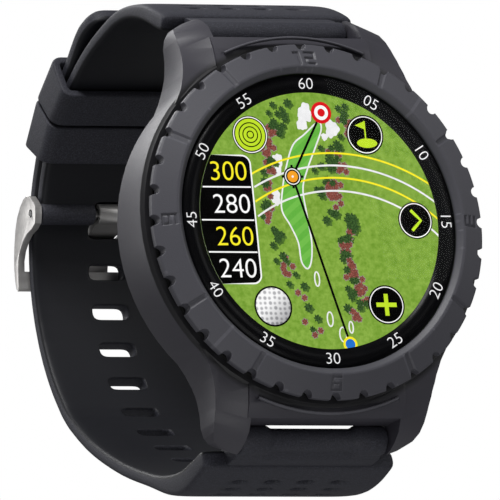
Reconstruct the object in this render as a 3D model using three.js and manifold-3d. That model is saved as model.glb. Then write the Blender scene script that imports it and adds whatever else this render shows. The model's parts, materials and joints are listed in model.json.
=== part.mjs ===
// A golf GPS watch with a turning bezel, a buckled rubber strap and everything inside its case.
// Millimetres. Origin: centre of the sensor window's outer face on the back of the case.
// +X points to 3 o'clock, +Z to 12 o'clock, -Y out of the dial and +Y into the wrist.
import * as THREE from "three";
import { mergeVertices } from "three/addons/utils/BufferGeometryUtils.js";
import Module from "manifold-3d";

const wasm = await Module();
wasm.setup();

// ---------------------------------------------------------------- driving dimensions
const DISPLAY_R = 17.65; // active area of a 1.39 inch round display
const LENS_R = 20.0;
const LENS_FRONT = -14.4; // y of the glass's outer face
const LENS_BACK = -13.1;
const BEZEL_R = 24.7;
const BEZEL_NOTCHES = 36;
const CASE_R = 25.0;
const CASE_FRONT = -11.9; // y of the shoulder that the bezel turns over
const CASE_BACK = -1.4;
const CAVITY_R = 20.9;
const COLLAR = { r: 22.3, top: -13.35 }; // the rim that the bezel turns on
const LUG_GAP = 22.2; // between the lugs, for a 22 mm strap neck
const LUG_BAR = { y: -4.9, z: 27.9 }; // spring bar centre, mirrored for the lower pair
const END_WALL_Z = 26.2; // case wall between the lugs
const BUTTON_ANGLES = { upper: 30, lower: -30 }; // degrees from 3 o'clock
const BUTTON_Y = -6.3;
const SCREW_CIRCLE_R = 20.1; // back cover screws, at 45 degrees to the lugs
const SCREWS = [[1, 1], [-1, 1], [-1, -1], [1, -1]].map(([sx, sz]) => {
  const reach = SCREW_CIRCLE_R * Math.SQRT1_2;
  return [sx * reach, sz * reach];
});

const STRAP_T = 2.0;
const STRAP_HALF = 11.0; // half width at the buckle
const EAR_HALF = 14.2; // half width where the strap meets the lug tips
const LOOP = { y: 22, z: 6 }; // centre that both strap layers are wound about at the buckle
const INNER_LAYER_R = 28.3; // middle of the strap half that carries the buckle
const OUTER_LAYER_R = 30.5; // middle of the strap half with the tail
const SLOT_PITCH = 5.8;
const SLOT = { half: 2.7, width: 3.0 };
const PIN_ANGLE = 21.4; // buckle bar, degrees above the loop centre's horizontal
const KEEPER_SPAN = 12.4; // degrees of the loop that one keeper covers

const RAD = Math.PI / 180;

// ---------------------------------------------------------------- materials
const finish = (color, roughness, metalness = 0) =>
  new THREE.MeshStandardMaterial({ color, roughness, metalness });
const CASE_POLYMER = finish(0x3c3b40, 0.5);
const BEZEL_POLYMER = finish(0x45454a, 0.55);
const STRAP_RUBBER = finish(0x1e1f23, 0.75);
const SEAL_RUBBER = finish(0x111111, 0.8);
const STEEL = finish(0xc9c6c2, 0.25, 1);
const DARK_STEEL = finish(0x6f6f73, 0.35, 1);
const GOLD = finish(0xd8b04a, 0.3, 1);
const GLASS = finish(0x101417, 0.05);
const PRINT_BLACK = finish(0x08080a, 0.4);
const DISPLAY_GREEN = finish(0x7fae2e, 0.2);
const BOARD_GREEN = finish(0x14523a, 0.5);
const INNER_PLASTIC = finish(0x2b2c2f, 0.6);
const BATTERY_FOIL = finish(0xb9bcc0, 0.35, 0.6);
const CERAMIC = finish(0xd6c9a8, 0.6);

// ---------------------------------------------------------------- geometry helpers
const vec2 = ([a, b]) => new THREE.Vector2(a, b);

// A closed three.js geometry as a manifold-3d solid, turned the right way out.
function solid(geometry) {
  const g = geometry.index ? geometry.toNonIndexed() : geometry.clone();
  for (const name of Object.keys(g.attributes)) if (name !== "position") g.deleteAttribute(name);
  const merged = mergeVertices(g, 1e-4);
  const triVerts = new Uint32Array(merged.index.array);
  const vertProperties = new Float32Array(merged.attributes.position.array);
  const made = new wasm.Manifold(new wasm.Mesh({ numProp: 3, vertProperties, triVerts }));
  if (made.volume() > 0) return made;
  for (let i = 1; i < triVerts.length; i += 3) {
    [triVerts[i], triVerts[i + 1]] = [triVerts[i + 1], triVerts[i]];
  }
  return new wasm.Manifold(new wasm.Mesh({ numProp: 3, vertProperties, triVerts }));
}

const cut = (body, ...tools) => tools.reduce((left, tool) => left.subtract(tool), body);
const join = (...bodies) => bodies.reduce((all, body) => all.add(body));

function geometryOf(body) {
  const mesh = body.getMesh();
  const positions = new Float32Array(mesh.numVert * 3);
  for (let i = 0; i < mesh.numVert; i++) {
    positions.set(mesh.vertProperties.subarray(i * mesh.numProp, i * mesh.numProp + 3), i * 3);
  }
  const g = new THREE.BufferGeometry();
  g.setAttribute("position", new THREE.BufferAttribute(positions, 3));
  g.setIndex(new THREE.BufferAttribute(new Uint32Array(mesh.triVerts), 1));
  return g;
}

// A closed (radius, y) profile turned about the dial axis, Y.
const turned = (profile, segments = 48) =>
  solid(new THREE.LatheGeometry([...profile, profile[0]].map(vec2), segments));

const ring = (inner, outer, y0, y1, segments) =>
  turned([[inner, y0], [outer, y0], [outer, y1], [inner, y1]], segments);

// A (radius, y) profile that starts and ends on the dial axis, turned about it.
const onAxis = (profile, segments = 48) => solid(new THREE.LatheGeometry(profile.map(vec2), segments));

const disc = (r, y0, y1, segments = 48) => onAxis([[0, y0], [r, y0], [r, y1], [0, y1]], segments);

const placed = (body, x, y, z) => body.translate([x, y, z]);

const shapeOf = (outline) => (outline instanceof THREE.Shape ? outline : new THREE.Shape(outline.map(vec2)));

// An outline in (y, z) carried along X from x0 to x1.
function prismX(outline, x0, x1, curveSegments = 6) {
  const options = { depth: x1 - x0, bevelEnabled: false, curveSegments };
  const g = new THREE.ExtrudeGeometry(shapeOf(outline), options);
  const axes = [new THREE.Vector3(0, 1, 0), new THREE.Vector3(0, 0, 1), new THREE.Vector3(1, 0, 0)];
  g.applyMatrix4(new THREE.Matrix4().makeBasis(...axes).setPosition(x0, 0, 0));
  return solid(g);
}

// An outline in (x, z) carried along Y from y0 to y1.
function prismY(outline, y0, y1, curveSegments = 6) {
  const options = { depth: y1 - y0, bevelEnabled: false, curveSegments };
  const g = new THREE.ExtrudeGeometry(shapeOf(outline), options);
  const axes = [new THREE.Vector3(1, 0, 0), new THREE.Vector3(0, 0, 1), new THREE.Vector3(0, -1, 0)];
  g.applyMatrix4(new THREE.Matrix4().makeBasis(...axes).setPosition(0, y1, 0));
  return solid(g);
}

function box(x0, x1, y0, y1, z0, z1) {
  const g = new THREE.BoxGeometry(x1 - x0, y1 - y0, z1 - z0);
  return solid(g.translate((x0 + x1) / 2, (y0 + y1) / 2, (z0 + z1) / 2));
}

// A cylinder along X, centred at (y, z).
function rod(r, x0, x1, y, z, segments = 16) {
  const g = new THREE.CylinderGeometry(r, r, x1 - x0, segments);
  return solid(g.rotateZ(-90 * RAD).translate((x0 + x1) / 2, y, z));
}

// A cylinder along Y, centred on (x, z).
function post(r, y0, y1, x, z, segments = 12) {
  const g = new THREE.CylinderGeometry(r, r, y1 - y0, segments);
  return solid(g.translate(x, (y0 + y1) / 2, z));
}

// A stepped shaft along X: [radius, x] pairs, turned about (y, z).
function steppedRod(steps, y, z, segments = 16) {
  const profile = [[0, steps[0][1]], ...steps, [0, steps.at(-1)[1]]];
  return solid(new THREE.LatheGeometry(profile.map(vec2), segments).rotateZ(-90 * RAD).translate(0, y, z));
}

// A rounded rectangle outline, centred on (a, b).
function roundedRect(halfA, halfB, r, a = 0, b = 0) {
  const s = new THREE.Shape();
  s.moveTo(a - halfA + r, b - halfB);
  s.lineTo(a + halfA - r, b - halfB).absarc(a + halfA - r, b - halfB + r, r, -90 * RAD, 0);
  s.lineTo(a + halfA, b + halfB - r).absarc(a + halfA - r, b + halfB - r, r, 0, 90 * RAD);
  s.lineTo(a - halfA + r, b + halfB).absarc(a - halfA + r, b + halfB - r, r, 90 * RAD, 180 * RAD);
  s.lineTo(a - halfA, b - halfB + r).absarc(a - halfA + r, b - halfB + r, r, 180 * RAD, 270 * RAD);
  return s;
}

// Skins a list of closed loops of points, with flat ends.
function skinned(loops) {
  const n = loops[0].length;
  const positions = loops.flat().flatMap((p) => [p.x, p.y, p.z]);
  const index = [];
  for (let i = 0; i + 1 < loops.length; i++) {
    for (let j = 0; j < n; j++) {
      const [a, b] = [i * n + j, i * n + ((j + 1) % n)];
      index.push(a, b, b + n, a, b + n, a + n);
    }
  }
  const last = (loops.length - 1) * n;
  for (let j = 1; j + 1 < n; j++) index.push(0, j + 1, j, last, last + j, last + j + 1);
  const g = new THREE.BufferGeometry();
  g.setAttribute("position", new THREE.Float32BufferAttribute(positions, 3));
  g.setIndex(index);
  return solid(g);
}

const lerp = THREE.MathUtils.lerp;
const ease = THREE.MathUtils.smoothstep;

// ---------------------------------------------------------------- the model's groups
const watch = new THREE.Group();
const groups = {};
for (const name of ["case", "bezel", "buttons", "strap", "buckle"]) {
  groups[name] = new THREE.Group();
  watch.add(groups[name]);
}

function add(group, name, body, material) {
  const mesh = new THREE.Mesh(geometryOf(body), material);
  mesh.name = name;
  groups[group].add(mesh);
  return mesh;
}

// ---------------------------------------------------------------- strap path
// A point on the loop's circle, at an angle above the horizontal that points away from the case.
const onLoop = (r, degrees) => [LOOP.y + r * Math.cos(degrees * RAD), LOOP.z + r * Math.sin(degrees * RAD)];

// The buckle half: up and back from the upper lugs, then down the loop's circle to the buckle bar.
const UPPER_ARC_TOP = 64;
const upperLead = [
  [-1.6, 30.2], [3.6, 32.9], [8.6, 34.5], [14.0, 35.6], [20.0, 35.9], [26.3, 34.8], [30.8, 33.2],
];
// The tail half: back from the lower lugs, round the loop's circle, then off it in a free tail.
const LOWER_ARC_END = -40;
const TAIL_LEAVES = 64;
const lowerLead = [
  [-1.0, -29.5], [3.4, -30.5], [8.0, -30.75], [15.1, -29.4], [23.0, -26.8], [31.0, -23.4], [39.3, -18.6],
];
const tailEnd = [[32.2, 36.0], [29.6, 37.6], [27.0, 39.0]];

function pathThrough(points) {
  const curve = new THREE.SplineCurve(points.map(vec2));
  const length = curve.getLength();
  const at = (s) => {
    const u = THREE.MathUtils.clamp(s / length, 0, 1);
    const p = curve.getPointAt(u);
    const t = curve.getTangentAt(u);
    return { y: p.x, z: p.y, ty: t.x, tz: t.y };
  };
  return { length, at };
}

const arcPoints = (r, from, to, step) => {
  const count = Math.round(Math.abs(to - from) / step);
  return Array.from({ length: count + 1 }, (_, i) => onLoop(r, lerp(from, to, i / count)));
};

const upperPath = pathThrough([...upperLead, ...arcPoints(INNER_LAYER_R, UPPER_ARC_TOP, PIN_ANGLE + 1, 6)]);
const lowerArc = arcPoints(OUTER_LAYER_R, LOWER_ARC_END, TAIL_LEAVES, 6);
const lowerPath = pathThrough([...lowerLead, ...lowerArc, ...tailEnd]);

// A strap half: a ribbon with softened corners whose width narrows from the ears to the buckle.
// outward is +1 where the outer face lies to the left of the direction of travel, else -1.
function ribbon(path, outward, widthAt, thicknessAt) {
  const loops = [];
  const count = Math.round(path.length / 4.2);
  for (let i = 0; i <= count; i++) {
    const s = (path.length * i) / count;
    const { y, z, ty, tz } = path.at(s);
    const [ny, nz] = [-tz * outward, ty * outward];
    const half = thicknessAt(s) / 2;
    const w = widthAt(s);
    const soft = 0.45;
    const section = [
      [-w, half - soft], [-w + soft, half], [w - soft, half], [w, half - soft],
      [w, -half + soft], [w - soft, -half], [-w + soft, -half], [-w, -half + soft],
    ];
    loops.push(section.map(([x, d]) => new THREE.Vector3(x, y + ny * d, z + nz * d)));
  }
  return skinned(loops);
}

// The neck between the lugs: a round boss about the spring bar, blended back into the ribbon.
function neck(side) {
  const boss = rod(1.9, -LUG_GAP / 2 + 0.3, LUG_GAP / 2 - 0.3, LUG_BAR.y, side * LUG_BAR.z, 24);
  const web = [[-4.2, 26.2], [-5.4, 29.6], [-3.9, 30.4], [1.0, 31.9], [1.6, 29.3], [-1.0, 27.4]];
  const flat = [[-4.2, 26.2], [-5.4, 29.6], [-3.9, 30.2], [0.4, 30.7], [0.4, 28.2], [-1.6, 27.3]];
  const outline = side > 0 ? web : flat.map(([y, z]) => [y, -z]);
  return join(boss, prismX(outline, -LUG_GAP / 2 + 0.3, LUG_GAP / 2 - 0.3));
}

const strapWidth = (s) => lerp(EAR_HALF, STRAP_HALF, ease(s, 2, 28));
const upperThickness = (s) => lerp(2.6, STRAP_T, ease(s, 2, 16));
// The tail half swells a little behind its ears.
const lowerThickness = (s) => lerp(3.4, STRAP_T, ease(s, 8, 26)) - lerp(0.5, 0, ease(s, 0, 7));

// Moves a cutter made along the outward normal to a place on a path.
function onPath(body, path, s, outward) {
  const { y, z, ty, tz } = path.at(s);
  const normal = new THREE.Vector3(0, -tz * outward, ty * outward);
  const along = new THREE.Vector3(0, ty, tz);
  const across = new THREE.Vector3().crossVectors(along, normal);
  const m = new THREE.Matrix4().makeBasis(across, along, normal).setPosition(0, y, z);
  return body.transform(m.elements);
}

function slotCutter(path, s, outward) {
  const shape = roundedRect(SLOT.half, SLOT.width / 2, 0.7);
  const options = { depth: 8, bevelEnabled: false, curveSegments: 1 };
  return onPath(solid(new THREE.ExtrudeGeometry(shape, options).translate(0, 0, -4)), path, s, outward);
}

// ---------------------------------------------------------------- strap halves
const barHole = (side) => rod(0.95, -12, 12, LUG_BAR.y, side * LUG_BAR.z, 16);

// Buckle half, with a rolled end about the buckle bar and a cut-out for the tongue.
const PIN = onLoop(INNER_LAYER_R - 0.4, PIN_ANGLE);
function upperStrap() {
  const band = ribbon(upperPath, 1, strapWidth, upperThickness);
  const roll = rod(1.5, -STRAP_HALF, STRAP_HALF, ...PIN, 20);
  const tongueRoom = placed(box(-2.95, 2.95, -4.4, 4.4, -2.6, 1.9), 0, ...PIN);
  const pinHole = rod(0.95, -12, 12, ...PIN, 16);
  return cut(join(neck(1), band, roll), barHole(1), pinHole, tongueRoom);
}

// Tail half, with the row of adjusting slots and rounded corners at the tip.
const SLOT_COUNT = 11;
function lengthAtAngle(path, degrees, r) {
  const [y, z] = onLoop(r, degrees);
  let best = 0;
  for (let s = 0; s <= path.length; s += 0.1) {
    const p = path.at(s);
    const q = path.at(best);
    if (Math.hypot(p.y - y, p.z - z) < Math.hypot(q.y - y, q.z - z)) best = s;
  }
  return best;
}
const TONGUE_SLOT_ANGLE = PIN_ANGLE - 4.9;
function tailWidth(s) {
  const left = lowerPath.length - s;
  const corner = 3;
  const w = strapWidth(s);
  return left > corner ? w : w - corner + Math.sqrt(Math.max(0, corner ** 2 - (corner - left) ** 2)) * 0.92;
}
function lowerStrap() {
  const held = lengthAtAngle(lowerPath, TONGUE_SLOT_ANGLE, OUTER_LAYER_R);
  const slots = [];
  for (let i = 0; i < SLOT_COUNT; i++) slots.push(slotCutter(lowerPath, held + (2 - i) * SLOT_PITCH, -1));
  return cut(join(neck(-1), ribbon(lowerPath, -1, tailWidth, lowerThickness)), barHole(-1), ...slots);
}

add("strap", "upper_strap", upperStrap(), STRAP_RUBBER);
add("strap", "lower_strap", lowerStrap(), STRAP_RUBBER);

// ---------------------------------------------------------------- keepers
// A keeper is a flat rubber loop round both layers, curved with them.
function keeper(from, to) {
  const gap = 0.3;
  const wall = 1.2;
  const half = STRAP_T / 2;
  const [inside, outside] = [INNER_LAYER_R - half - gap, OUTER_LAYER_R + half + gap];
  const sector = (r0, r1, halfX, past) => {
    const s = new THREE.Shape();
    s.absarc(LOOP.y, LOOP.z, r1, (from - past) * RAD, (to + past) * RAD);
    s.absarc(LOOP.y, LOOP.z, r0, (to + past) * RAD, (from - past) * RAD, true);
    return prismX(s, -halfX, halfX, 5);
  };
  const block = sector(inside - wall, outside + wall, STRAP_HALF + gap + wall, 0);
  return cut(block, sector(inside, outside, STRAP_HALF + gap, 2));
}
const FIXED_KEEPER_FROM = 37.6;
const FREE_KEEPER_FROM = FIXED_KEEPER_FROM + KEEPER_SPAN + 0.9;
add("strap", "fixed_keeper", keeper(FIXED_KEEPER_FROM, FIXED_KEEPER_FROM + KEEPER_SPAN), STRAP_RUBBER);
add("strap", "free_keeper", keeper(FREE_KEEPER_FROM, FREE_KEEPER_FROM + KEEPER_SPAN), STRAP_RUBBER);

// ---------------------------------------------------------------- spring bars
// A tube with a sprung, flanged tip in each end. travel is the play between flange and tube.
const BAR = { tube: 0.75, bore: 0.5, pin: 0.38, flange: 0.75, nose: 0.4, travel: 1.2 };
function springBar(group, name, halfGap, y, z) {
  const flangeOut = halfGap - 0.3;
  const tubeEnd = flangeOut - 0.6 - BAR.travel - 0.1;
  const tube = cut(rod(BAR.tube, -tubeEnd, tubeEnd, y, z, 16), rod(BAR.bore, -20, 20, y, z, 12));
  add(group, `${name}_tube`, tube, STEEL);
  const tip = (side) => {
    const steps = [
      [BAR.pin, tubeEnd - 3.4], [BAR.pin, flangeOut - 0.6], [BAR.flange, flangeOut - 0.6],
      [BAR.flange, flangeOut], [BAR.nose, flangeOut], [BAR.nose, halfGap + 1.0],
    ];
    const body = steppedRod(steps, y, z, 12);
    return side > 0 ? body : body.mirror([1, 0, 0]);
  };
  add(group, `${name}_tip_right`, tip(1), DARK_STEEL);
  add(group, `${name}_tip_left`, tip(-1), DARK_STEEL);
}
springBar("case", "upper_lug_bar", LUG_GAP / 2, LUG_BAR.y, LUG_BAR.z);
springBar("case", "lower_lug_bar", LUG_GAP / 2, LUG_BAR.y, -LUG_BAR.z);

// ---------------------------------------------------------------- buckle
const RAIL = { inner: STRAP_HALF + 0.3, outer: STRAP_HALF + 1.3 };
springBar("buckle", "buckle_bar", RAIL.inner, ...PIN);

// Frame: two rails that run from the bar out past the tail, joined by an end bar outside it.
const FRAME_END_ANGLE = 1.6;
function buckleFrame() {
  const outerFace = OUTER_LAYER_R + STRAP_T / 2;
  const rail = [
    onLoop(INNER_LAYER_R - 1.7, PIN_ANGLE + 2.6), onLoop(INNER_LAYER_R + 0.6, PIN_ANGLE + 4.6),
    onLoop(OUTER_LAYER_R + 0.3, PIN_ANGLE + 2.4), onLoop(outerFace + 0.8, PIN_ANGLE - 3.4),
    onLoop(outerFace + 1.35, PIN_ANGLE - 11), onLoop(outerFace + 1.4, FRAME_END_ANGLE + 4),
    onLoop(outerFace + 1.1, FRAME_END_ANGLE + 0.4), onLoop(outerFace + 0.5, FRAME_END_ANGLE),
    onLoop(outerFace + 0.25, FRAME_END_ANGLE + 3), onLoop(outerFace - 0.1, PIN_ANGLE - 11.5),
    onLoop(OUTER_LAYER_R - 1.2, PIN_ANGLE - 6.5), onLoop(INNER_LAYER_R - 1.9, PIN_ANGLE - 2.8),
  ];
  const outline = new THREE.SplineCurve([...rail, rail[0]].map(vec2)).getPoints(26).slice(0, -1);
  const block = prismX(new THREE.Shape(outline), -RAIL.outer, RAIL.outer);
  const clearOf = (corners) => prismX(corners.map(([r, a]) => onLoop(r, a)), -RAIL.inner, RAIL.inner);
  const barTop = FRAME_END_ANGLE + 4.6;
  const [far, top] = [outerFace + 9, PIN_ANGLE + 12];
  const above = clearOf([[20, barTop], [far, barTop], [far, top], [20, top]]);
  const under = outerFace + 0.2;
  const inside = clearOf([[20, -12], [under, -12], [under, barTop + 1], [20, barTop + 1]]);
  const bore = rod(0.55, -RAIL.inner - 1.2, RAIL.inner + 1.2, ...PIN, 12);
  return cut(block, above, inside, bore);
}
add("buckle", "buckle_frame", buckleFrame(), STEEL);

// Tongue: a strip that wraps the bar, passes out through a slot and rests on the end bar.
function buckleTongue() {
  const wrap = rod(1.45, -2.4, 2.4, ...PIN, 20);
  const tipR = OUTER_LAYER_R + STRAP_T / 2 + 2.15;
  const line = [
    onLoop(INNER_LAYER_R - 0.2, PIN_ANGLE - 1.4), onLoop(INNER_LAYER_R + 1.0, PIN_ANGLE - 3.2),
    onLoop(OUTER_LAYER_R - 0.2, PIN_ANGLE - 4.7), onLoop(OUTER_LAYER_R + 1.7, PIN_ANGLE - 7.0),
    onLoop(tipR, FRAME_END_ANGLE + 7), onLoop(tipR + 0.1, FRAME_END_ANGLE + 0.8),
  ];
  const curve = new THREE.SplineCurve(line.map(vec2));
  const half = 0.55;
  const loops = [];
  const count = 14;
  for (let i = 0; i <= count; i++) {
    const p = curve.getPoint(i / count);
    const t = curve.getTangent(i / count);
    const w = lerp(2.3, 1.9, i / count);
    const [ny, nz] = [t.y * half, -t.x * half];
    const corners = [[-w, 1], [w, 1], [w, -1], [-w, -1]];
    loops.push(corners.map(([x, d]) => new THREE.Vector3(x, p.x + ny * d, p.y + nz * d)));
  }
  return cut(join(wrap, skinned(loops)), rod(0.95, -4, 4, ...PIN, 16));
}
add("buckle", "buckle_tongue", buckleTongue(), STEEL);

// ---------------------------------------------------------------- case
// Plan outline of one lug, in (x, z); lean draws its flank in like the round flank beside it.
function lugPlan(lean) {
  const flank = [
    [18.4, 16.6], [17.35, 18.5], [16.65, 20.4], [16.2, 22.4], [15.95, 24.4], [15.85, 26.2],
    [15.65, 27.4], [15.2, 28.3], [14.0, 29.0],
  ];
  const leant = flank.map(([x, z], k) => [x - lean * (1 + 0.35 / (k + 1)), z]);
  return [[15, 15], ...leant, [LUG_GAP / 2, 30.2], [LUG_GAP / 2, 15]];
}

// Side outlines of a lug in (y, z), from its root over the tip and back, at its inner and outer sides.
const LUG_INNER = [
  [CASE_FRONT, 15.0], [CASE_FRONT, 17.0], [-11.85, 19.6], [-11.6, 22.2], [-11.1, 24.6], [-10.4, 26.4],
  [-9.4, 27.9], [-8.0, 28.9], [-6.6, 29.6], [-5.2, 29.95], [-4.2, 29.6], [-3.5, 28.5], [-3.1, 26.8],
  [-3.3, 24.6], [-3.2, 22.2], [-2.6, 19.6], [-2.2, 17.0], [-2.2, 15.0],
];
const LUG_OUTER = [
  [CASE_FRONT, 15.0], [CASE_FRONT, 17.0], [-11.65, 19.2], [-11.15, 21.3], [-10.45, 23.1], [-9.5, 24.8],
  [-8.4, 26.3], [-7.2, 27.4], [-5.8, 28.1], [-4.5, 28.4], [-3.9, 28.1], [-3.5, 27.2], [-3.3, 26.0],
  [-3.6, 24.0], [-3.6, 21.8], [-3.0, 19.4], [-2.4, 17.0], [-2.4, 15.0],
];
function makeLug() {
  const side = (outline, x) => outline.map(([y, z]) => new THREE.Vector3(x, y, z));
  const sides = [side(LUG_INNER, 10), side(LUG_INNER, LUG_GAP / 2), side(LUG_OUTER, 15.6), side(LUG_OUTER, 20)];
  const level = (y, lean) => lugPlan(lean).map(([x, z]) => new THREE.Vector3(x, y, z));
  return skinned(sides).intersect(skinned([level(-13, 0), level(-11.2, 0), level(-2.6, 0.7), level(1, 1.6)]));
}

// Side outline of the end of the case between two lugs.
const DECK_SIDE = [
  [CASE_FRONT, 15.0], [CASE_FRONT, 22.0], [-11.4, 24.4], [-10.5, END_WALL_Z], [-6.2, END_WALL_Z],
  [-6.2, 25.2], [-3.0, 25.2], [-1.9, 24.4], [CASE_BACK, 23.0], [CASE_BACK, 15.0],
];

function midCase() {
  // The flank leans in towards the wrist.
  const round = onAxis([
    [0, CASE_FRONT], [CASE_R - 0.4, CASE_FRONT], [CASE_R, CASE_FRONT + 0.6],
    [24.3, CASE_BACK - 1.2], [23.4, CASE_BACK], [0, CASE_BACK],
  ], 72);
  const lug = makeLug();
  const deck = prismX(DECK_SIDE, -LUG_GAP / 2 - 0.5, LUG_GAP / 2 + 0.5);
  const upperEnd = join(lug, lug.mirror([1, 0, 0]), deck);
  const collar = ring(19.2, COLLAR.r, COLLAR.top, CASE_FRONT + 0.5, 48);
  const beyond = (z, side) => (side > 0 ? [z, 40] : [-40, -z]);
  const panel = (side) => {
    const half = LUG_GAP / 2 - 0.4;
    const recess = box(-half, half, -20, CASE_FRONT + 0.45, ...beyond(18, side));
    return cut(recess, disc(CASE_R + 0.9, -21, 1));
  };
  const holeEnd = LUG_GAP / 2 + 1.6;
  const lugHole = (side) => rod(0.55, -holeEnd, holeEnd, LUG_BAR.y, side * LUG_BAR.z, 12);
  const cavity = onAxis([
    [0, -20], [LENS_R + 0.1, -20], [LENS_R + 0.1, -12.75], [19.1, -12.75], [19.1, -12.1],
    [CAVITY_R, -11.6], [CAVITY_R, -2.6], [22.5, -2.6], [22.5, 4], [0, 4],
  ]);
  const bosses = SCREWS.map(([x, z]) => post(1.7, -5.85, -2.65, x, z, 16));
  const bossHoles = SCREWS.map(([x, z]) => post(0.65, -6, 0, x, z, 10));
  const ends = [1, -1].flatMap((side) => [panel(side), lugHole(side)]);
  const pockets = Object.values(BUTTON_ANGLES).flatMap(buttonPocket);
  const shell = cut(join(round, upperEnd, upperEnd.mirror([0, 0, 1]), collar), cavity, ...ends, ...pockets);
  return cut(join(shell, ...bosses), ...bossHoles);
}

// ---------------------------------------------------------------- buttons
// Everything of a button is made along +X, then turned about the dial axis.
const toAngle = (body, degrees) => body.rotate([0, -degrees, 0]);
// Radii of the cap, its pocket, the stem and its bore, then places along the stem.
const BUTTON = { cap: 2.1, pocket: 2.45, stem: 0.9, bore: 1.15, groove: 0.6, travel: 0.6 };
const BUTTON_AT = { end: 20.0, clip: 20.55, seal: 21.5, floor: 22.6, back: 24.2, front: 25.9 };
function buttonPocket(degrees) {
  const pocket = rod(BUTTON.pocket, BUTTON_AT.floor, 30, BUTTON_Y, 0, 20);
  const bore = rod(BUTTON.bore, 19, 30, BUTTON_Y, 0, 16);
  return [toAngle(pocket, degrees), toAngle(bore, degrees)];
}

// A compression spring: round wire wound about +X between x0 and x1.
function springCoil(radius, wire, x0, x1, turns) {
  const points = [];
  const steps = turns * 8;
  for (let i = 0; i <= steps; i++) {
    const a = (i / steps) * turns * 2 * Math.PI;
    const [y, z] = [BUTTON_Y + radius * Math.cos(a), radius * Math.sin(a)];
    points.push(new THREE.Vector3(lerp(x0, x1, i / steps), y, z));
  }
  const section = new THREE.Shape().absarc(0, 0, wire, 0, 2 * Math.PI);
  const extrudePath = new THREE.CatmullRomCurve3(points);
  const options = { steps, extrudePath, curveSegments: 3, bevelEnabled: false };
  return solid(new THREE.ExtrudeGeometry(section, options));
}

for (const [name, degrees] of Object.entries(BUTTON_ANGLES)) {
  const { cap, stem, groove, travel } = BUTTON;
  const at = BUTTON_AT;
  const head = steppedRod([[cap, at.back], [cap, at.front - 0.5], [cap - 0.45, at.front]], BUTTON_Y, 0, 24);
  const shaft = steppedRod([
    [stem, at.end], [stem, at.clip], [groove, at.clip], [groove, at.clip + 0.3],
    [stem, at.clip + 0.3], [stem, at.back + 0.2],
  ], BUTTON_Y, 0, 16);
  add("buttons", `button_${name}`, toAngle(join(head, shaft), degrees), DARK_STEEL);
  const clip = cut(
    rod(1.4, at.clip + 0.03, at.clip + 0.25, BUTTON_Y, 0, 16),
    rod(groove + 0.1, 20, 22, BUTTON_Y, 0, 12),
    box(20, 22, BUTTON_Y, BUTTON_Y + 3, -0.5, 0.5),
  );
  add("buttons", `button_${name}_clip`, toAngle(clip, degrees), STEEL);
  const spring = springCoil(1.55, 0.16, at.floor + 0.2, at.back - 0.2, 3);
  add("buttons", `button_${name}_spring`, toAngle(spring, degrees), STEEL);
  const seal = cut(
    rod(BUTTON.bore - 0.05, at.seal, at.seal + 0.7, BUTTON_Y, 0, 16),
    rod(stem + 0.05, 21, 23, BUTTON_Y, 0, 16),
  );
  add("buttons", `button_${name}_seal`, toAngle(seal, degrees), SEAL_RUBBER);
  const contact = box(17.6, at.end - travel - 0.1, BUTTON_Y - 1.9, BUTTON_Y + 1.3, -1.6, 1.6);
  add("case", `button_${name}_switch`, toAngle(contact, degrees), INNER_PLASTIC);
}

add("case", "mid_case", midCase(), CASE_POLYMER);

// ---------------------------------------------------------------- bezel
// Engraved marks: strokes on the bezel's face, each a bar from a to b in dial coordinates.
const ENGRAVE_DEPTH = 0.35;
const FACE = { innerR: 21.3, innerY: -15.2, outerR: 24.25, outerY: -13.95 };
function stroke(a, b, width, radius, degrees) {
  const [dx, dz] = [b[0] - a[0], b[1] - a[1]];
  const length = Math.hypot(dx, dz) + width;
  const bar = solid(new THREE.BoxGeometry(length, 3, width));
  const turn = Math.atan2(dz, dx) / RAD;
  const tilt = Math.atan2(FACE.outerY - FACE.innerY, FACE.outerR - FACE.innerR) / RAD;
  const y = lerp(FACE.innerY, FACE.outerY, (radius - FACE.innerR) / (FACE.outerR - FACE.innerR));
  const middle = [(a[0] + b[0]) / 2, -1.5 + ENGRAVE_DEPTH, (a[1] + b[1]) / 2];
  const flat = bar.rotate([0, -turn, 0]).translate(middle);
  return flat.rotate([-tilt, 0, 0]).translate([0, y, radius]).rotate([0, 90 - degrees, 0]);
}
// Squared numerals on a 1 by 1.6 cell, as strokes.
const [LEFT, RIGHT, TOP, MIDDLE, BOTTOM] = [-0.5, 0.5, 0.8, 0, -0.8];
const across = (z) => [[LEFT, z], [RIGHT, z]];
const down = (x, from, to) => [[x, from], [x, to]];
const DIGITS = {
  1: [down(0.2, TOP, BOTTOM), [[-0.25, TOP], [0.2, TOP]]],
  2: [across(TOP), down(RIGHT, TOP, MIDDLE), across(MIDDLE), down(LEFT, MIDDLE, BOTTOM), across(BOTTOM)],
  3: [across(TOP), down(RIGHT, TOP, BOTTOM), across(MIDDLE), across(BOTTOM)],
  6: [across(TOP), down(LEFT, TOP, BOTTOM), across(MIDDLE), down(RIGHT, MIDDLE, BOTTOM), across(BOTTOM)],
  9: [across(TOP), down(LEFT, TOP, MIDDLE), across(MIDDLE), down(RIGHT, TOP, BOTTOM), across(BOTTOM)],
};
function numeral(text, degrees) {
  const radius = 22.75;
  const advance = 1.75;
  return [...text].flatMap((digit, i) => {
    const shift = (i - (text.length - 1) / 2) * advance;
    const moved = ([x, z]) => [x + shift, z];
    return DIGITS[digit].map(([a, b]) => stroke(moved(a), moved(b), 0.32, radius, degrees));
  });
}

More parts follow.
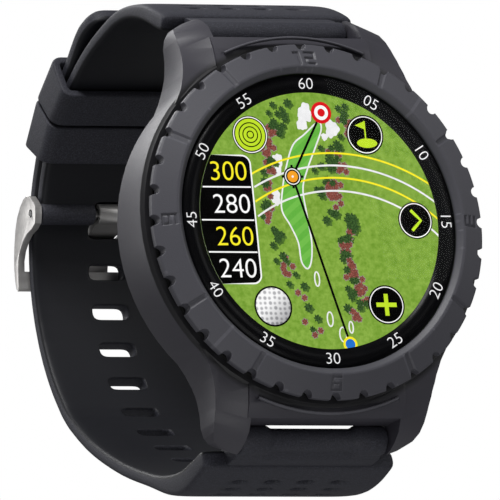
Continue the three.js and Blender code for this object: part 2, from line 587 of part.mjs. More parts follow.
function bezel() {
  const profile = [
    [20.3, -14.45], [20.9, FACE.innerY], [FACE.innerR, FACE.innerY], [FACE.outerR, FACE.outerY],
    [BEZEL_R, -13.5], [BEZEL_R, -12.9], [24.4, -12.6], [COLLAR.r + 0.3, -12.6],
    [COLLAR.r + 0.3, COLLAR.top - 0.3], [20.3, COLLAR.top - 0.3],
  ];
  const body = turned(profile, 54);
  const notches = [];
  for (let i = 0; i < BEZEL_NOTCHES; i++) {
    const notch = solid(new THREE.CylinderGeometry(0.68, 0.68, 6, 6).translate(BEZEL_R - 0.25, -14, 0));
    notches.push(notch.rotate([0, (i * 360) / BEZEL_NOTCHES, 0]));
  }
  const hours = [30, 60, 120, 150, 210, 240, 300, 330];
  const marks = hours.map((a) => stroke([0, -0.95], [0, 0.95], 0.5, 22.6, a));
  const numerals = [["12", 90], ["3", 0], ["6", -90], ["9", 180]].flatMap(([text, a]) => numeral(text, a));
  return cut(body, ...notches, ...marks, ...numerals);
}
add("bezel", "bezel", bezel(), BEZEL_POLYMER);
add("case", "bezel_friction_ring", ring(COLLAR.r + 0.1, 23.8, -12.5, CASE_FRONT - 0.02, 48), SEAL_RUBBER);

// ---------------------------------------------------------------- front stack
const lensEdge = [[LENS_R - 0.25, LENS_FRONT], [LENS_R, LENS_FRONT + 0.2], [LENS_R, LENS_BACK]];
add("case", "touch_lens", onAxis([[0, LENS_FRONT], ...lensEdge, [0, LENS_BACK]]), GLASS);
add("case", "minute_ring", ring(DISPLAY_R + 0.05, LENS_R - 0.1, LENS_BACK + 0.03, -12.8, 48), PRINT_BLACK);
add("case", "display_panel", disc(18.9, -12.76, -11.8, 48), DISPLAY_GREEN);
const frameTray = cut(disc(20.6, -11.55, -10.3, 48), disc(19.0, -12, -11.1, 48), box(-9, 9, -13, -9, -6, 6));
add("case", "display_frame", frameTray, INNER_PLASTIC);

// ---------------------------------------------------------------- electronics
const boardFlats = [[19.2, 30], [-30, -19.2]].map(([z0, z1]) => box(-25, 25, -11, -8, z0, z1));
add("case", "main_board", cut(disc(20.3, -9.9, -9.1), ...boardFlats), BOARD_GREEN);
add("case", "gps_antenna", prismY(roundedRect(5.5, 5.5, 0.6, 0, 11.5), -8.95, -6.0), CERAMIC);
add("case", "processor_shield", prismY(roundedRect(4.4, 4.4, 0.4, -11.6, 9.0), -8.95, -7.6), STEEL);
add("case", "vibration_motor", placed(disc(3.7, -8.95, -6.2, 24), 10.2, 0, 9.6), STEEL);
add("case", "battery", prismY(roundedRect(11.8, 9.0, 1.4, 0, -6.2), -8.8, -4.6), BATTERY_FOIL);
const sensorBoard = disc(6.2, -3.9, -3.2, 32);
add("case", "pulse_sensor_board", sensorBoard, BOARD_GREEN);
for (const [i, x] of [[1, -2.6], [2, 2.6]]) {
  add("case", `pulse_sensor_lamp_${i}`, placed(box(-0.7, 0.7, -3.1, -2.5, -0.7, 0.7), x, 0, 0), CERAMIC);
}

// ---------------------------------------------------------------- back
const CONTACTS = [-4.5, -1.5, 1.5, 4.5];
const CONTACT_Z = -12.6;
function backCover() {
  const plate = onAxis([[0, -2.5], [22.2, -2.5], [22.2, -1.3], [21.0, -0.7], [0, -0.7]], 48);
  const window = join(disc(7.7, -4, 1), disc(8.6, -1.55, 1));
  const contacts = CONTACTS.map((x) => post(1.0, -5, 1, x, CONTACT_Z));
  const screws = SCREWS.flatMap(([x, z]) => [post(0.85, -5, 1, x, z), post(1.45, -1.65, 1, x, z, 16)]);
  return cut(plate, window, ...contacts, ...screws);
}
add("case", "back_cover", backCover(), CASE_POLYMER);
add("case", "back_seal", ring(CAVITY_R + 0.35, 22.3, -2.6 + 0.02, -2.52, 48), SEAL_RUBBER);
const windowProfile = [[0, -2.4], [7.5, -2.4], [7.5, -1.45], [8.4, -1.45], [8.4, -0.5], [7.4, 0], [0, 0]];
add("case", "sensor_window", onAxis(windowProfile), GLASS);
CONTACTS.forEach((x, i) => {
  add("case", `charge_contact_${i + 1}`, post(0.85, -2.8, -0.6, x, CONTACT_Z), GOLD);
});
SCREWS.forEach(([x, z], i) => {
  const profile = [[0, -5.4], [0.5, -5.4], [0.5, -1.55], [1.3, -1.55], [1.3, -0.75], [0, -0.75]];
  const screw = cut(onAxis(profile, 12), post(0.6, -1.3, 0, 0, 0, 6));
  add("case", `back_screw_${i + 1}`, placed(screw, x, 0, z), DARK_STEEL);
});

export default watch;
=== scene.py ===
import json
import math

import bmesh
import bpy
import numpy as np
from mathutils import Matrix, Vector


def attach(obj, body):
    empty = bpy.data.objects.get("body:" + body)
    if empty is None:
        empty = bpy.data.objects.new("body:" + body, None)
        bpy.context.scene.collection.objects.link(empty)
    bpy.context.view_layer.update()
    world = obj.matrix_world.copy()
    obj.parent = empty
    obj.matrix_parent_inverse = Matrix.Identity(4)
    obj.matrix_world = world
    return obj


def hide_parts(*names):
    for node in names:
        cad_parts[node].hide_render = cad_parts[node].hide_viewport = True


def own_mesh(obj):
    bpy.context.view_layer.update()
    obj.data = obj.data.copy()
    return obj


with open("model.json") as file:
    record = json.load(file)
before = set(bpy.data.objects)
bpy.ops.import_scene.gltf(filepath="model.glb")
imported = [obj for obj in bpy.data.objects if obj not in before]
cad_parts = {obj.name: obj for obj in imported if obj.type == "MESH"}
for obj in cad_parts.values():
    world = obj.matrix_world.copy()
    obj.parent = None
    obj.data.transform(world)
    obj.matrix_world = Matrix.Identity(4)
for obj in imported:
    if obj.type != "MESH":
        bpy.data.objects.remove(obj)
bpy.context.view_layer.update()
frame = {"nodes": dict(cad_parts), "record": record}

# ------------------------ camera, floor and light
# The watch is seen from the 9 o'clock side and a little below, through a long lens.
# A pale floor lies well under it, and broad soft lamps give dark plastic its long highlights.
MM = 0.001


def tilted(right, up):
    """A turn whose X and Y are the given directions, squared up."""
    x = Vector(right).normalized()
    z = x.cross(Vector(up)).normalized()
    return Matrix((x, z.cross(x), z)).transposed().to_4x4()


def placed(name, data):
    made = bpy.data.objects.new(name, data)
    bpy.context.scene.collection.objects.link(made)
    return made


camera = placed("camera", bpy.data.cameras.new("camera"))
camera.data.lens = 1500
camera.data.sensor_width = 36
camera.data.clip_start, camera.data.clip_end = 0.05, 20
looking = tilted((0.8998, -0.4253, -0.0973), (-0.007, -0.237, 0.9715))
aim, away = Vector((-8.3, -9.5, -2.9)) * MM, Vector((0, 0, 2.783))
camera.matrix_world = Matrix.Translation(aim) @ looking @ Matrix.Translation(away)
bpy.context.scene.camera = camera
bpy.context.scene.view_settings.view_transform = "Standard"


def lamp(name, place, size, power, tall=None):
    """A rectangular soft box at a place in metres, turned to face the watch."""
    data = bpy.data.lights.new(name, "AREA")
    data.shape = "RECTANGLE"
    data.size, data.size_y = size, tall or size
    data.energy = power
    made = placed(name, data)
    made.location = place
    made.rotation_euler = (Vector((0, 0.01, 0)) - Vector(place)).to_track_quat("-Z", "Y").to_euler()


lamp("key", (-0.24, -0.26, 0.53), 0.22, 3.7)
lamp("fill", (0.50, -0.40, 0.25), 0.4, 0.7)
lamp("side", (-0.46, 0.46, 0.22), 0.3, 0.95, tall=0.4)
lamp("back", (-0.1, 0.5, 0.45), 0.3, 1.6)
lamp("low", (-0.15, -0.35, -0.30), 0.3, 0.55)

world = bpy.data.worlds.new("studio")
bpy.context.scene.world = world
world.use_nodes = True
sky = world.node_tree
sky.nodes.clear()
seen, lit = sky.nodes.new("ShaderNodeBackground"), sky.nodes.new("ShaderNodeBackground")
seen.inputs["Color"].default_value = (1, 1, 1, 1)
lit.inputs["Color"].default_value = (0.98, 0.99, 1, 1)
lit.inputs["Strength"].default_value = 0.14
either, ray, sky_out = (sky.nodes.new(kind) for kind in (
    "ShaderNodeMixShader", "ShaderNodeLightPath", "ShaderNodeOutputWorld"))
sky.links.new(ray.outputs["Is Camera Ray"], either.inputs[0])
sky.links.new(lit.outputs[0], either.inputs[1])
sky.links.new(seen.outputs[0], either.inputs[2])
sky.links.new(either.outputs[0], sky_out.inputs[0])


def from_arrays(name, points, faces, smooth=True):
    """A mesh object from an (n, 3) array of points in mm and lists of corner numbers, facing out."""
    mesh = bpy.data.meshes.new(name)
    mesh.from_pydata((np.asarray(points) * MM).tolist(), [], faces)
    work = bmesh.new()
    work.from_mesh(mesh)
    bmesh.ops.recalc_face_normals(work, faces=work.faces)
    work.to_mesh(mesh)
    work.free()
    mesh.polygons.foreach_set("use_smooth", np.full(len(mesh.polygons), smooth))
    return placed(name, mesh)


floor_half, floor_z = 4000, -800
corners = [(a * floor_half, b * floor_half, floor_z) for a, b in ((-1, -1), (1, -1), (1, 1), (-1, 1))]
floor = from_arrays("floor", corners, [(0, 1, 2, 3)], smooth=False)


class Wire:
    """A socket of a material; sums, differences and products with it add Math nodes."""

    def __init__(self, net, socket):
        self.net, self.socket = net, socket

    def __getitem__(self, name):
        return Wire(self.net, self.socket.node.outputs[name])

    def _with(self, operation, a, b):
        return self.net.add("ShaderNodeMath", {"operation": operation}, {0: a, 1: b})

    def __add__(self, other): return self._with("ADD", self, other)
    def __sub__(self, other): return self._with("SUBTRACT", self, other)
    def __rsub__(self, other): return self._with("SUBTRACT", other, self)
    def __mul__(self, other): return self._with("MULTIPLY", self, other)


class Finish:
    """A material under construction: nodes go in with add, and surface ends it."""

    def __init__(self, name):
        self.material = bpy.data.materials.new(name)
        self.material.use_nodes = True
        self.tree = self.material.node_tree
        self.tree.nodes.clear()

    def add(self, kind, settings=None, inputs=None):
        node = self.tree.nodes.new(kind)
        for key, value in (settings or {}).items():
            if key == "stops":
                ramp = node.color_ramp
                while len(ramp.elements) < len(value):
                    ramp.elements.new(0.5)
                for element, (place, colour) in zip(ramp.elements, value):
                    element.position, element.color = place, (*colour, 1)
            else:
                setattr(node, key, value)
        for key, value in (inputs or {}).items():
            if isinstance(value, Wire):
                self.tree.links.new(value.socket, node.inputs[key])
            elif isinstance(value, tuple) and len(value) == 3 and node.inputs[key].type == "RGBA":
                node.inputs[key].default_value = (*value, 1)
            else:
                node.inputs[key].default_value = value
        return Wire(self, node.outputs[0] if node.outputs else None)

    def place(self, scale=(1, 1, 1), turn=(0, 0, 0)):
        at = self.add("ShaderNodeTexCoord")["Object"]
        return self.add("ShaderNodeMapping", {}, {"Vector": at, "Scale": scale, "Rotation": turn})

    def noise(self, scale, detail=3.0, at=None, rough=0.5):
        return self.add("ShaderNodeTexNoise", {}, {
            "Vector": at or self.place(), "Scale": scale, "Detail": detail, "Roughness": rough})

    def ramp(self, value, *stops):
        return self.add("ShaderNodeValToRGB", {"stops": stops}, {0: value})

    def mix(self, share, a, b):
        made = self.add("ShaderNodeMix", {"data_type": "RGBA"}, {0: share, 6: a, 7: b})
        return Wire(self, made.socket.node.outputs[2])

    def between(self, value, low, high):
        """A value from 0 to 1 carried to low to high."""
        return value * (high - low) + low

    def rise(self, value, low, high):
        """0 at low, 1 at high and straight between them."""
        return self.add("ShaderNodeMapRange", {}, {"Value": value, "From Min": low, "From Max": high})

    def bump(self, height, depth, strength=1.0, under=None):
        inputs = {"Height": height, "Distance": depth, "Strength": strength}
        if under:
            inputs["Normal"] = under
        return self.add("ShaderNodeBump", {}, inputs)

    def surface(self, **inputs):
        """Ends the material as one shader; an underscore in an input's name stands for a space."""
        named = {key.replace("_", " "): value for key, value in inputs.items()}
        shader = self.add("ShaderNodeBsdfPrincipled", {}, named)
        self.add("ShaderNodeOutputMaterial", {}, {0: shader})
        return self.material

    def glow(self, colour):
        """Ends the material as a lit part of the display: it only gives off its colour."""
        return self.surface(Base_Color=(0.0, 0.0, 0.0), Roughness=0.35, Emission_Color=colour,
                            Emission_Strength=1.0, Specular_IOR_Level=0.0)


net = Finish("pale_floor")
tone = net.ramp(net.noise(3.0, 2.0), (0.3, (0.86, 0.86, 0.87)), (0.7, (0.9, 0.9, 0.9)))
floor.data.materials.append(net.surface(Base_Color=tone, Roughness=0.8))

# ------------------------ case
# The middle of the case and its four lugs are one moulding of dark filled nylon with a fine,
# slightly uneven matt skin. The back cover is the same plastic, and screws into it from behind.


def moulded(name, colour, rough=0.46, grain=1.0, painted_gap_shade=False, worn_and_highlit=False):
    """Matt moulded plastic: cloudy tone and a fine grain. One switch paints shade on the groove under the bezel's
    edge, darkening it; the other makes the edges paler, partly rubbed wear and partly a painted highlight."""
    net = Finish(name)
    cloud = net.noise(60, 4.0)
    grit = net.noise(5200, 2.0)
    deep = tuple(c * 0.86 for c in colour)
    base = net.mix(cloud, deep, colour)
    if painted_gap_shade:
        flat = net.place(scale=(1, 0, 1))
        out = net.add("ShaderNodeVectorMath", {"operation": "LENGTH"}, {0: flat})["Value"]
        depth = net.add("ShaderNodeSeparateXYZ", {}, {0: net.place()})["Y"]
        # Painted shade: the case's rim just outside the bezel, under its edge, is darkened to stand in for the shadow
        # in that groove.
        shade = net.rise(out, 0.0256, 0.0249) * net.rise(depth, -0.0110, -0.0113)
        base = net.mix(shade, base, tuple(c * 0.15 for c in colour))
    if worn_and_highlit:
        # The sharp edges are painted paler, broken up by noise: partly rubbed wear, partly a painted highlight.
        rub = net.between(net.noise(900, 3.0), 0.0, 0.5)
        wear_and_highlight = net.ramp(net.add("ShaderNodeNewGeometry")["Pointiness"], (0.52, (0, 0, 0)), (0.6, (1, 1, 1)))
        base = net.mix(wear_and_highlight * rub, base, tuple(c * 2.2 + 0.03 for c in colour))
    roughness = net.between(cloud, rough - 0.06, rough + 0.08) + (grit - 0.5) * 0.12
    fine = net.bump(grit, 0.00003 * grain, 0.5)
    return net.surface(Base_Color=base, Roughness=roughness, Normal=net.bump(cloud, 0.00004, 0.4, fine))


def softened(name, node, width, material, segments=3, angle=32):
    """The CAD node's own shape with rounded edges: merged, bevelled and shaded smooth."""
    work = bmesh.new()
    work.from_mesh(frame["nodes"][node].data)
    bmesh.ops.remove_doubles(work, verts=work.verts, dist=1e-6)
    bmesh.ops.dissolve_limit(work, angle_limit=math.radians(0.8), verts=work.verts, edges=work.edges)
    mesh = bpy.data.meshes.new(name)
    work.to_mesh(mesh)
    work.free()
    mesh.polygons.foreach_set("use_smooth", np.full(len(mesh.polygons), True))
    made = placed(name, mesh)
    edge = made.modifiers.new("edges", "BEVEL")
    edge.width, edge.segments = width * MM, segments
    edge.limit_method, edge.angle_limit = "ANGLE", math.radians(angle)
    edge.harden_normals = True
    mesh.materials.append(material)
    body = next(b for b, nodes in frame["record"]["behaviour"]["bodies"].items() if node in nodes)
    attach(made, body)
    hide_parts(node)
    return made


# The case's plastic carries the painted shade in the groove under the bezel.
case_plastic = moulded("case_plastic", (0.047, 0.045, 0.057), painted_gap_shade=True)
softened("case_body", "mid_case", 0.22, case_plastic, angle=30)
softened("case_back", "back_cover", 0.12, case_plastic)

# ------------------------ bezel
# A dark plastic ring that turns on the case's rim. Thirty-six half-round notches are moulded in its
# edge for grip, and its face carries sunk numerals and hour slots.


def skin(name, rows, material, looped=False):
    """Joins rows of points, an (n, m, 3) array in mm, with four-sided faces. Each row closes on itself.
    looped joins the last row to the first; without it those two rows are covered."""
    n, m = rows.shape[:2]
    i, j = np.meshgrid(np.arange(n if looped else n - 1), np.arange(m), indexing="ij")
    a, b = (i * m + j).ravel(), (i * m + (j + 1) % m).ravel()
    c, d = ((i + 1) % n * m + (j + 1) % m).ravel(), ((i + 1) % n * m + j).ravel()
    faces = np.stack([a, b, c, d], axis=1).tolist()
    if not looped:
        faces += [list(range(m)), list(range((n - 1) * m, n * m))]
    made = from_arrays(name, rows.reshape(-1, 3), faces)
    made.data.materials.append(material)
    return made


def merged(made):
    """Joins points that lie on each other, such as a turned shape's pole, and faces it outwards again."""
    work = bmesh.new()
    work.from_mesh(made.data)
    bmesh.ops.remove_doubles(work, verts=work.verts, dist=1e-7)
    bmesh.ops.dissolve_degenerate(work, edges=work.edges, dist=1e-8)
    bmesh.ops.recalc_face_normals(work, faces=work.faces)
    work.to_mesh(made.data)
    work.free()
    return made


def about_dial(radius, y, theta):
    """Points at a radius and angle on the dial; the angle runs from 3 o'clock towards 12."""
    return np.stack([radius * np.cos(theta), y, radius * np.sin(theta)], axis=-1)


def eased(x, low, high):
    """0 below low, 1 above high and a smooth rise in the middle."""
    t = np.clip((x - low) / (high - low), 0, 1)
    return t * t * (3 - 2 * t)


def sunk(a, b, strokes, half):
    """How far each point (a, b) lies inside any of the strokes: 1 in a stroke, 0 outside."""
    depth = np.zeros(np.broadcast(a, b).shape)
    for (a0, b0), (a1, b1) in strokes:
        span = (a1 - a0) ** 2 + (b1 - b0) ** 2
        t = np.clip(((a - a0) * (a1 - a0) + (b - b0) * (b1 - b0)) / span, 0, 1)
        gap = np.maximum(np.abs(a - a0 - t * (a1 - a0)), np.abs(b - b0 - t * (b1 - b0)))
        depth = np.maximum(depth, 1 - eased(gap, half - 0.06, half + 0.05))
    return depth


left, right, top, middle, base_line = -0.62, 0.62, 0.82, 0.0, -0.82
bar = {level: ((left, level), (right, level)) for level in (top, middle, base_line)}
numerals = {
    "1": [((0.1, top), (0.1, base_line)), ((-0.45, top), (0.1, top))],
    "2": [*bar.values(), ((right, top), (right, middle)), ((left, middle), (left, base_line))],
    "3": [*bar.values(), ((right, top), (right, base_line))],
    "6": [*bar.values(), ((left, top), (left, base_line)), ((right, middle), (right, base_line))],
    "9": [*bar.values(), ((left, top), (left, middle)), ((right, top), (right, base_line))],
}

face = np.stack([np.linspace(21.35, 24.2, 29), np.linspace(-15.2, -14.04, 29)], axis=1)
profile = np.concatenate([
    [(20.3, -13.65), (20.3, -14.1), (20.3, -14.42), (20.36, -14.56), (20.5, -14.7), (20.72, -14.93),
     (20.88, -15.08), (20.98, -15.16), (21.1, -15.2)],
    face,
    [(24.33, -13.97), (24.41, -13.87), (24.44, -13.72), (24.44, -13.4), (24.42, -13.1), (24.38, -12.85),
     (24.22, -12.68), (24.0, -12.6), (23.2, -12.6), (22.6, -12.6), (22.6, -13.65)],
])
notches, half_pitch, notch_half, notch_floor = 36, 2.112, 0.74, 22.75
half_row = np.concatenate([[0.0, 0.16, 0.32, 0.46, 0.57, 0.65, 0.70, 0.725, notch_half, 0.77, 0.82, 0.88],
                           np.linspace(0.92, half_pitch, 13)])
pitch = np.concatenate([-half_row[:0:-1], half_row[:-1]])
step = 2 * np.pi / notches
theta = (np.arange(notches)[:, None] * step + pitch[None, :] / half_pitch * step / 2).reshape(-1, 1)
along = np.tile(pitch, notches)[:, None]
radius, height = profile[None, :, 0] + 0 * theta, profile[None, :, 1] + 0 * theta
mouth = 24.5 - np.sqrt(np.clip(notch_half ** 2 - along ** 2, 0, None)) * 1.3
notched = (np.abs(along) < notch_half) & (radius > mouth) & (radius > notch_floor - 0.05)
radius = np.where(notched, np.maximum(mouth, notch_floor), radius)
on_face = ((profile[:, 0] > 21.3) & (profile[:, 0] < 24.1) & (profile[:, 1] < -14))[None, :]
for hour in range(12):
    from_hour = np.mod(theta - np.radians(90 - 30 * hour) + np.pi, 2 * np.pi) - np.pi
    facing = -1 if hour == 6 else 1
    mark_r = 22.6 if hour % 3 else 22.35
    a, b = from_hour * -22.5 * facing, (radius - mark_r) * facing
    if hour % 3:
        height = height + 0.24 * sunk(a, b, [((0, -0.95), (0, 0.95))], 0.36) * on_face
    else:
        text = str(hour or 12)
        for k, digit in enumerate(text):
            shift = (k - (len(text) - 1) / 2) * 1.75
            height = height + 0.26 * sunk(a - shift, b, numerals[digit], 0.17) * on_face
# The bezel's sharp edges are painted paler, partly as wear and partly as a painted highlight.
bezel_plastic = moulded("bezel_plastic", (0.070, 0.069, 0.083), rough=0.5, grain=1.2, worn_and_highlit=True)
bezel = skin("bezel_ring", about_dial(radius, height, theta), bezel_plastic, looped=True)
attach(bezel, "turning_bezel")
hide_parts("bezel")

# ------------------------ raised lines by the lugs
# A fine raised line moulded on the case between each pair of lugs follows the bezel's curve and
# edges the sunk panel there.
line_half_deg = 23.6
section = np.array([(25.62, -11.7), (25.66, -12.02), (25.76, -12.14), (25.9, -12.14), (26.0, -12.02), (26.04, -11.4)])
for end, middle_deg in (("upper", 90), ("lower", 270)):
    arc = np.radians(np.linspace(middle_deg - line_half_deg, middle_deg + line_half_deg, 61))[:, None]
    rows = about_dial(section[None, :, 0], section[None, :, 1] + 0 * arc, arc)
    line = skin(f"{end}_panel_line", rows, bezel_plastic)
    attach(line, "case")

# ------------------------ cover glass, minute ring and display
# A flat hardened glass is glued into the case's rim. Its back is printed black round the edge with
# white minute numerals, and the colour display shows through the clear middle.


def turned(name, profile, material, steps=192):
    """A profile of (radius, y) pairs turned about the dial's axis."""
    profile = np.asarray(profile, dtype=float)
    theta = np.linspace(0, 2 * np.pi, steps, endpoint=False)[:, None]
    rows = about_dial(profile[None, :, 0], profile[None, :, 1] + 0 * theta, theta)
    return merged(skin(name, rows, material, looped=True))


# Clear glass adds nothing but a reflection that grows towards the edge of sight.
net = Finish("clear_glass")
shine = net.add("ShaderNodeBsdfGlossy", {}, {"Color": (1, 1, 1), "Roughness": 0.02})
through = net.add("ShaderNodeBsdfTransparent", {}, {"Color": (1, 1, 1)})
rise = net.add("ShaderNodeLayerWeight", {}, {"Blend": 0.12})["Fresnel"]
share = rise * net.between(net.noise(90, 3.0), 0.75, 1.0) * 0.25 + 0.003
net.add("ShaderNodeOutputMaterial", {}, {0: net.add("ShaderNodeMixShader", {}, {0: share, 1: through, 2: shine})})
glass = turned("cover_glass", [(0, -14.4), (19.9, -14.4), (20.1, -14.33), (20.16, -14.2), (20.16, -13.2), (0, -13.2)],
               net.material)
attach(glass, "case")
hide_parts("touch_lens")


def lit_screen(name, dark, bright, scale=2200, detail=4.0):
    """A patch of the lit display: two tones mottled together."""
    net = Finish(name)
    share = net.ramp(net.noise(scale, detail, rough=0.62), (0.32, (0, 0, 0)), (0.68, (1, 1, 1)))
    return net.glow(net.mix(share, dark, bright))


# What the display shows lies in front of its face in numbered layers, each a little nearer the glass.
screen_front, layer_step, sheet = -14.24, 0.011, 0.006


def print_flat(name, outlines, layer, material):
    """Thin flat shapes on the display: each outline, an (n, 2) array of dial x and z, is a prism."""
    points, faces, count = [], [], 0
    y = screen_front - layer * layer_step
    for outline in outlines:
        outline = np.asarray(outline, dtype=float)
        n = len(outline)
        for depth in (0.0, sheet):
            points.append(np.stack([outline[:, 0], np.full(n, y + depth), outline[:, 1]], axis=1))
        faces += [list(range(count, count + n)), list(range(count + 2 * n - 1, count + n - 1, -1))]
        faces += [[count + k, count + (k + 1) % n, count + n + (k + 1) % n, count + n + k] for k in range(n)]
        count += 2 * n
    made = from_arrays(name, np.concatenate(points), faces, smooth=False)
    made.data.materials.append(material)
    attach(made, "case")


def circle(x, z, r, n=64, start=0, stop=360):
    a = np.radians(np.linspace(start, stop, n, endpoint=stop - start < 360))
    return np.stack([x + r * np.cos(a), z + r * np.sin(a)], axis=1)


def stripe(points, width):
    """The outline of a line of the given width through points."""
    points = np.asarray(points, dtype=float)
    ahead = np.gradient(points, axis=0)
    ahead /= np.linalg.norm(ahead, axis=1)[:, None]
    side = np.stack([-ahead[:, 1], ahead[:, 0]], axis=1) * width / 2
    return np.concatenate([points + side, (points - side)[::-1]])


def ring_of(outline, width):
    """A closed outline's line, as one stripe for each of its sides."""
    closed = np.concatenate([outline, outline[:1]])
    return [stripe(closed[k:k + 2], width) for k in range(len(outline))]


def spline(p0, p1, p2, p3, count):
    """Points on the Catmull-Rom curves from each of p1 to p2, count to a curve."""
    p0, p1, p2, p3 = (p[:, None, :] for p in (p0, p1, p2, p3))
    t = np.linspace(0, 1, count, endpoint=False)[None, :, None]
    curve = 0.5 * (2 * p1 + (p2 - p0) * t + (2 * p0 - 5 * p1 + 4 * p2 - p3) * t ** 2
                   + (3 * p1 - p0 - 3 * p2 + p3) * t ** 3)
    return curve.reshape(-1, 2)


def rounded(points, count=8):
    """A closed smooth outline through points."""
    p = np.asarray(points, dtype=float)
    return spline(*(np.roll(p, shift, axis=0) for shift in (1, 0, -1, -2)), count)


def lettering(name, words, layer, material):
    """Text as thin raised shapes. Each word is (text, height, x, z, turn in degrees, squeeze, weight)."""
    points, faces, count = [], [], 0
    for text, tall, x, z, turn, squeeze, weight in words:
        curve = bpy.data.curves.new("text", "FONT")
        curve.body, curve.extrude, curve.offset = text, 0.002, weight
        holder = placed("text", curve)
        depsgraph = bpy.context.evaluated_depsgraph_get()
        mesh = bpy.data.meshes.new_from_object(holder.evaluated_get(depsgraph))
        flat = np.empty(len(mesh.vertices) * 3)
        mesh.vertices.foreach_get("co", flat)
        flat = flat.reshape(-1, 3)
        low, high = flat.min(axis=0), flat.max(axis=0)
        scale = tall / (high[1] - low[1])
        a = (flat[:, 0] - (low[0] + high[0]) / 2) * scale * squeeze
        b = (flat[:, 1] - (low[1] + high[1]) / 2) * scale
        y = screen_front - layer * layer_step - (flat[:, 2] - low[2]) * 1.5
        c, s = math.cos(math.radians(turn)), math.sin(math.radians(turn))
        points.append(np.stack([x + a * c - b * s, y, z + a * s + b * c], axis=1))
        faces += [[v + count for v in polygon.vertices] for polygon in mesh.polygons]
        count += len(flat)
        bpy.data.objects.remove(holder)
    made = merged(from_arrays(name, np.concatenate(points), faces, smooth=False))
    made.data.materials.append(material)
    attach(made, "case")


display_r, numeral_r = 17.65, 18.9
net = Finish("black_ink")
blacks = net.ramp(net.noise(400), (0.3, (0.0015, 0.0015, 0.002)), (0.7, (0.003, 0.003, 0.004)))
black_ink = net.surface(Base_Color=blacks, Roughness=0.3, Specular_IOR_Level=0.1)
white_ink = lit_screen("white_ink", (0.80, 0.80, 0.81), (0.92, 0.92, 0.93), 900)
yellow_ink = lit_screen("yellow_light", (0.92, 0.80, 0.02), (1.0, 0.90, 0.03), 900)
turf = lit_screen("turf", (0.160, 0.315, 0.030), (0.275, 0.455, 0.070), 1500)

band_front = screen_front - 14 * layer_step
minute_band = turned("minute_band", [(display_r, band_front), (20.15, band_front), (20.15, band_front + 0.02),
                                     (display_r, band_front + 0.02)], black_ink)
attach(minute_band, "case")
print_flat("screen_turf", [circle(0, 0, display_r + 0.1, 160)], 1, turf)
minutes = []
for minute in range(5, 65, 5):
    angle = 90 - minute * 6
    upside_down = 15 < minute < 45
    turn = angle - 90 + (180 if upside_down else 0)
    place = np.array([math.cos(math.radians(angle)), math.sin(math.radians(angle))]) * numeral_r
    minutes.append((f"{minute:02d}", 1.5, *place, turn, 1.05, -0.012))
lettering("minute_numerals", minutes, 15, white_ink)

# The fairway: mown in stripes, edged in white, from just short of the green down to the middle.
fairway = rounded([(1.3, 13.6), (-0.9, 11.9), (-2.75, 10.4), (-4.1, 7.3), (-4.9, 4.5), (-5.35, 1.5), (-4.3, -0.7),
                   (-3.4, -3.0), (-3.2, -5.6), (-2.4, -6.6), (-1.7, -5.4), (-1.4, -2.7), (-1.7, 0.8), (-1.9, 4.4),
                   (-0.9, 7.2), (0.5, 10.0), (1.7, 12.6)])
net = Finish("mown_fairway")
at = net.place(turn=(0, math.radians(38), 0))
band = net.add("ShaderNodeTexWave", {"wave_type": "BANDS", "bands_direction": "Z"}, {
    "Vector": at, "Scale": 210.0, "Distortion": 0.6, "Detail": 1.0})
mown = net.ramp(band, (0.42, (0.10, 0.42, 0.045)), (0.58, (0.155, 0.50, 0.07)))
mottled = net.mix(net.noise(2600, 4.0) * 0.5, mown, (0.22, 0.55, 0.09))
print_flat("fairway", [fairway], 2, net.glow(mottled))
print_flat("fairway_edge", ring_of(fairway, 0.22), 3, white_ink)


def blob(x, z, r, lobes, depth, seed, n=36, squash=1.0):
    """A lumpy closed outline: a circle whose radius swings by two waves with a seeded phase."""
    spin = np.random.default_rng(seed).uniform(0, 2 * np.pi, 2)
    a = np.linspace(0, 2 * np.pi, n, endpoint=False)
    swing = 1 + depth * np.sin(lobes * a + spin[0]) + depth * 0.6 * np.sin((2 * lobes + 1) * a + spin[1])
    return np.stack([x + r * swing * np.cos(a), z + squash * r * swing * np.sin(a)], axis=1)


bunkers = [(-0.5, 14.9, 1.0, 1.3), (-1.1, 13.4, 0.75, 1.3), (3.3, 12.7, 1.0, 1.2), (2.1, 11.6, 0.5, 1),
           (-5.3, 8.0, 0.75, 1.7), (-6.1, 3.2, 0.75, 1.4), (-5.4, 6.8, 0.5, 1.2)]
print_flat("bunkers", [blob(x, z, r, 3, 0.13, k, squash=q) for k, (x, z, r, q) in enumerate(bunkers)], 3, white_ink)
tees = [(-1.15, -8.0, 0.35, 1.0), (0.2, -13.5, 0.42, 1.0), (1.9, -15.6, 0.5, 1.0), (3.2, -14.6, 0.3, 0.8)]
print_flat("tee_outlines", [part for x, z, rx, rz in tees
                            for part in ring_of(circle(0, 0, 1, 20) * (rx, rz) + (x, z), 0.2)], 3, white_ink)

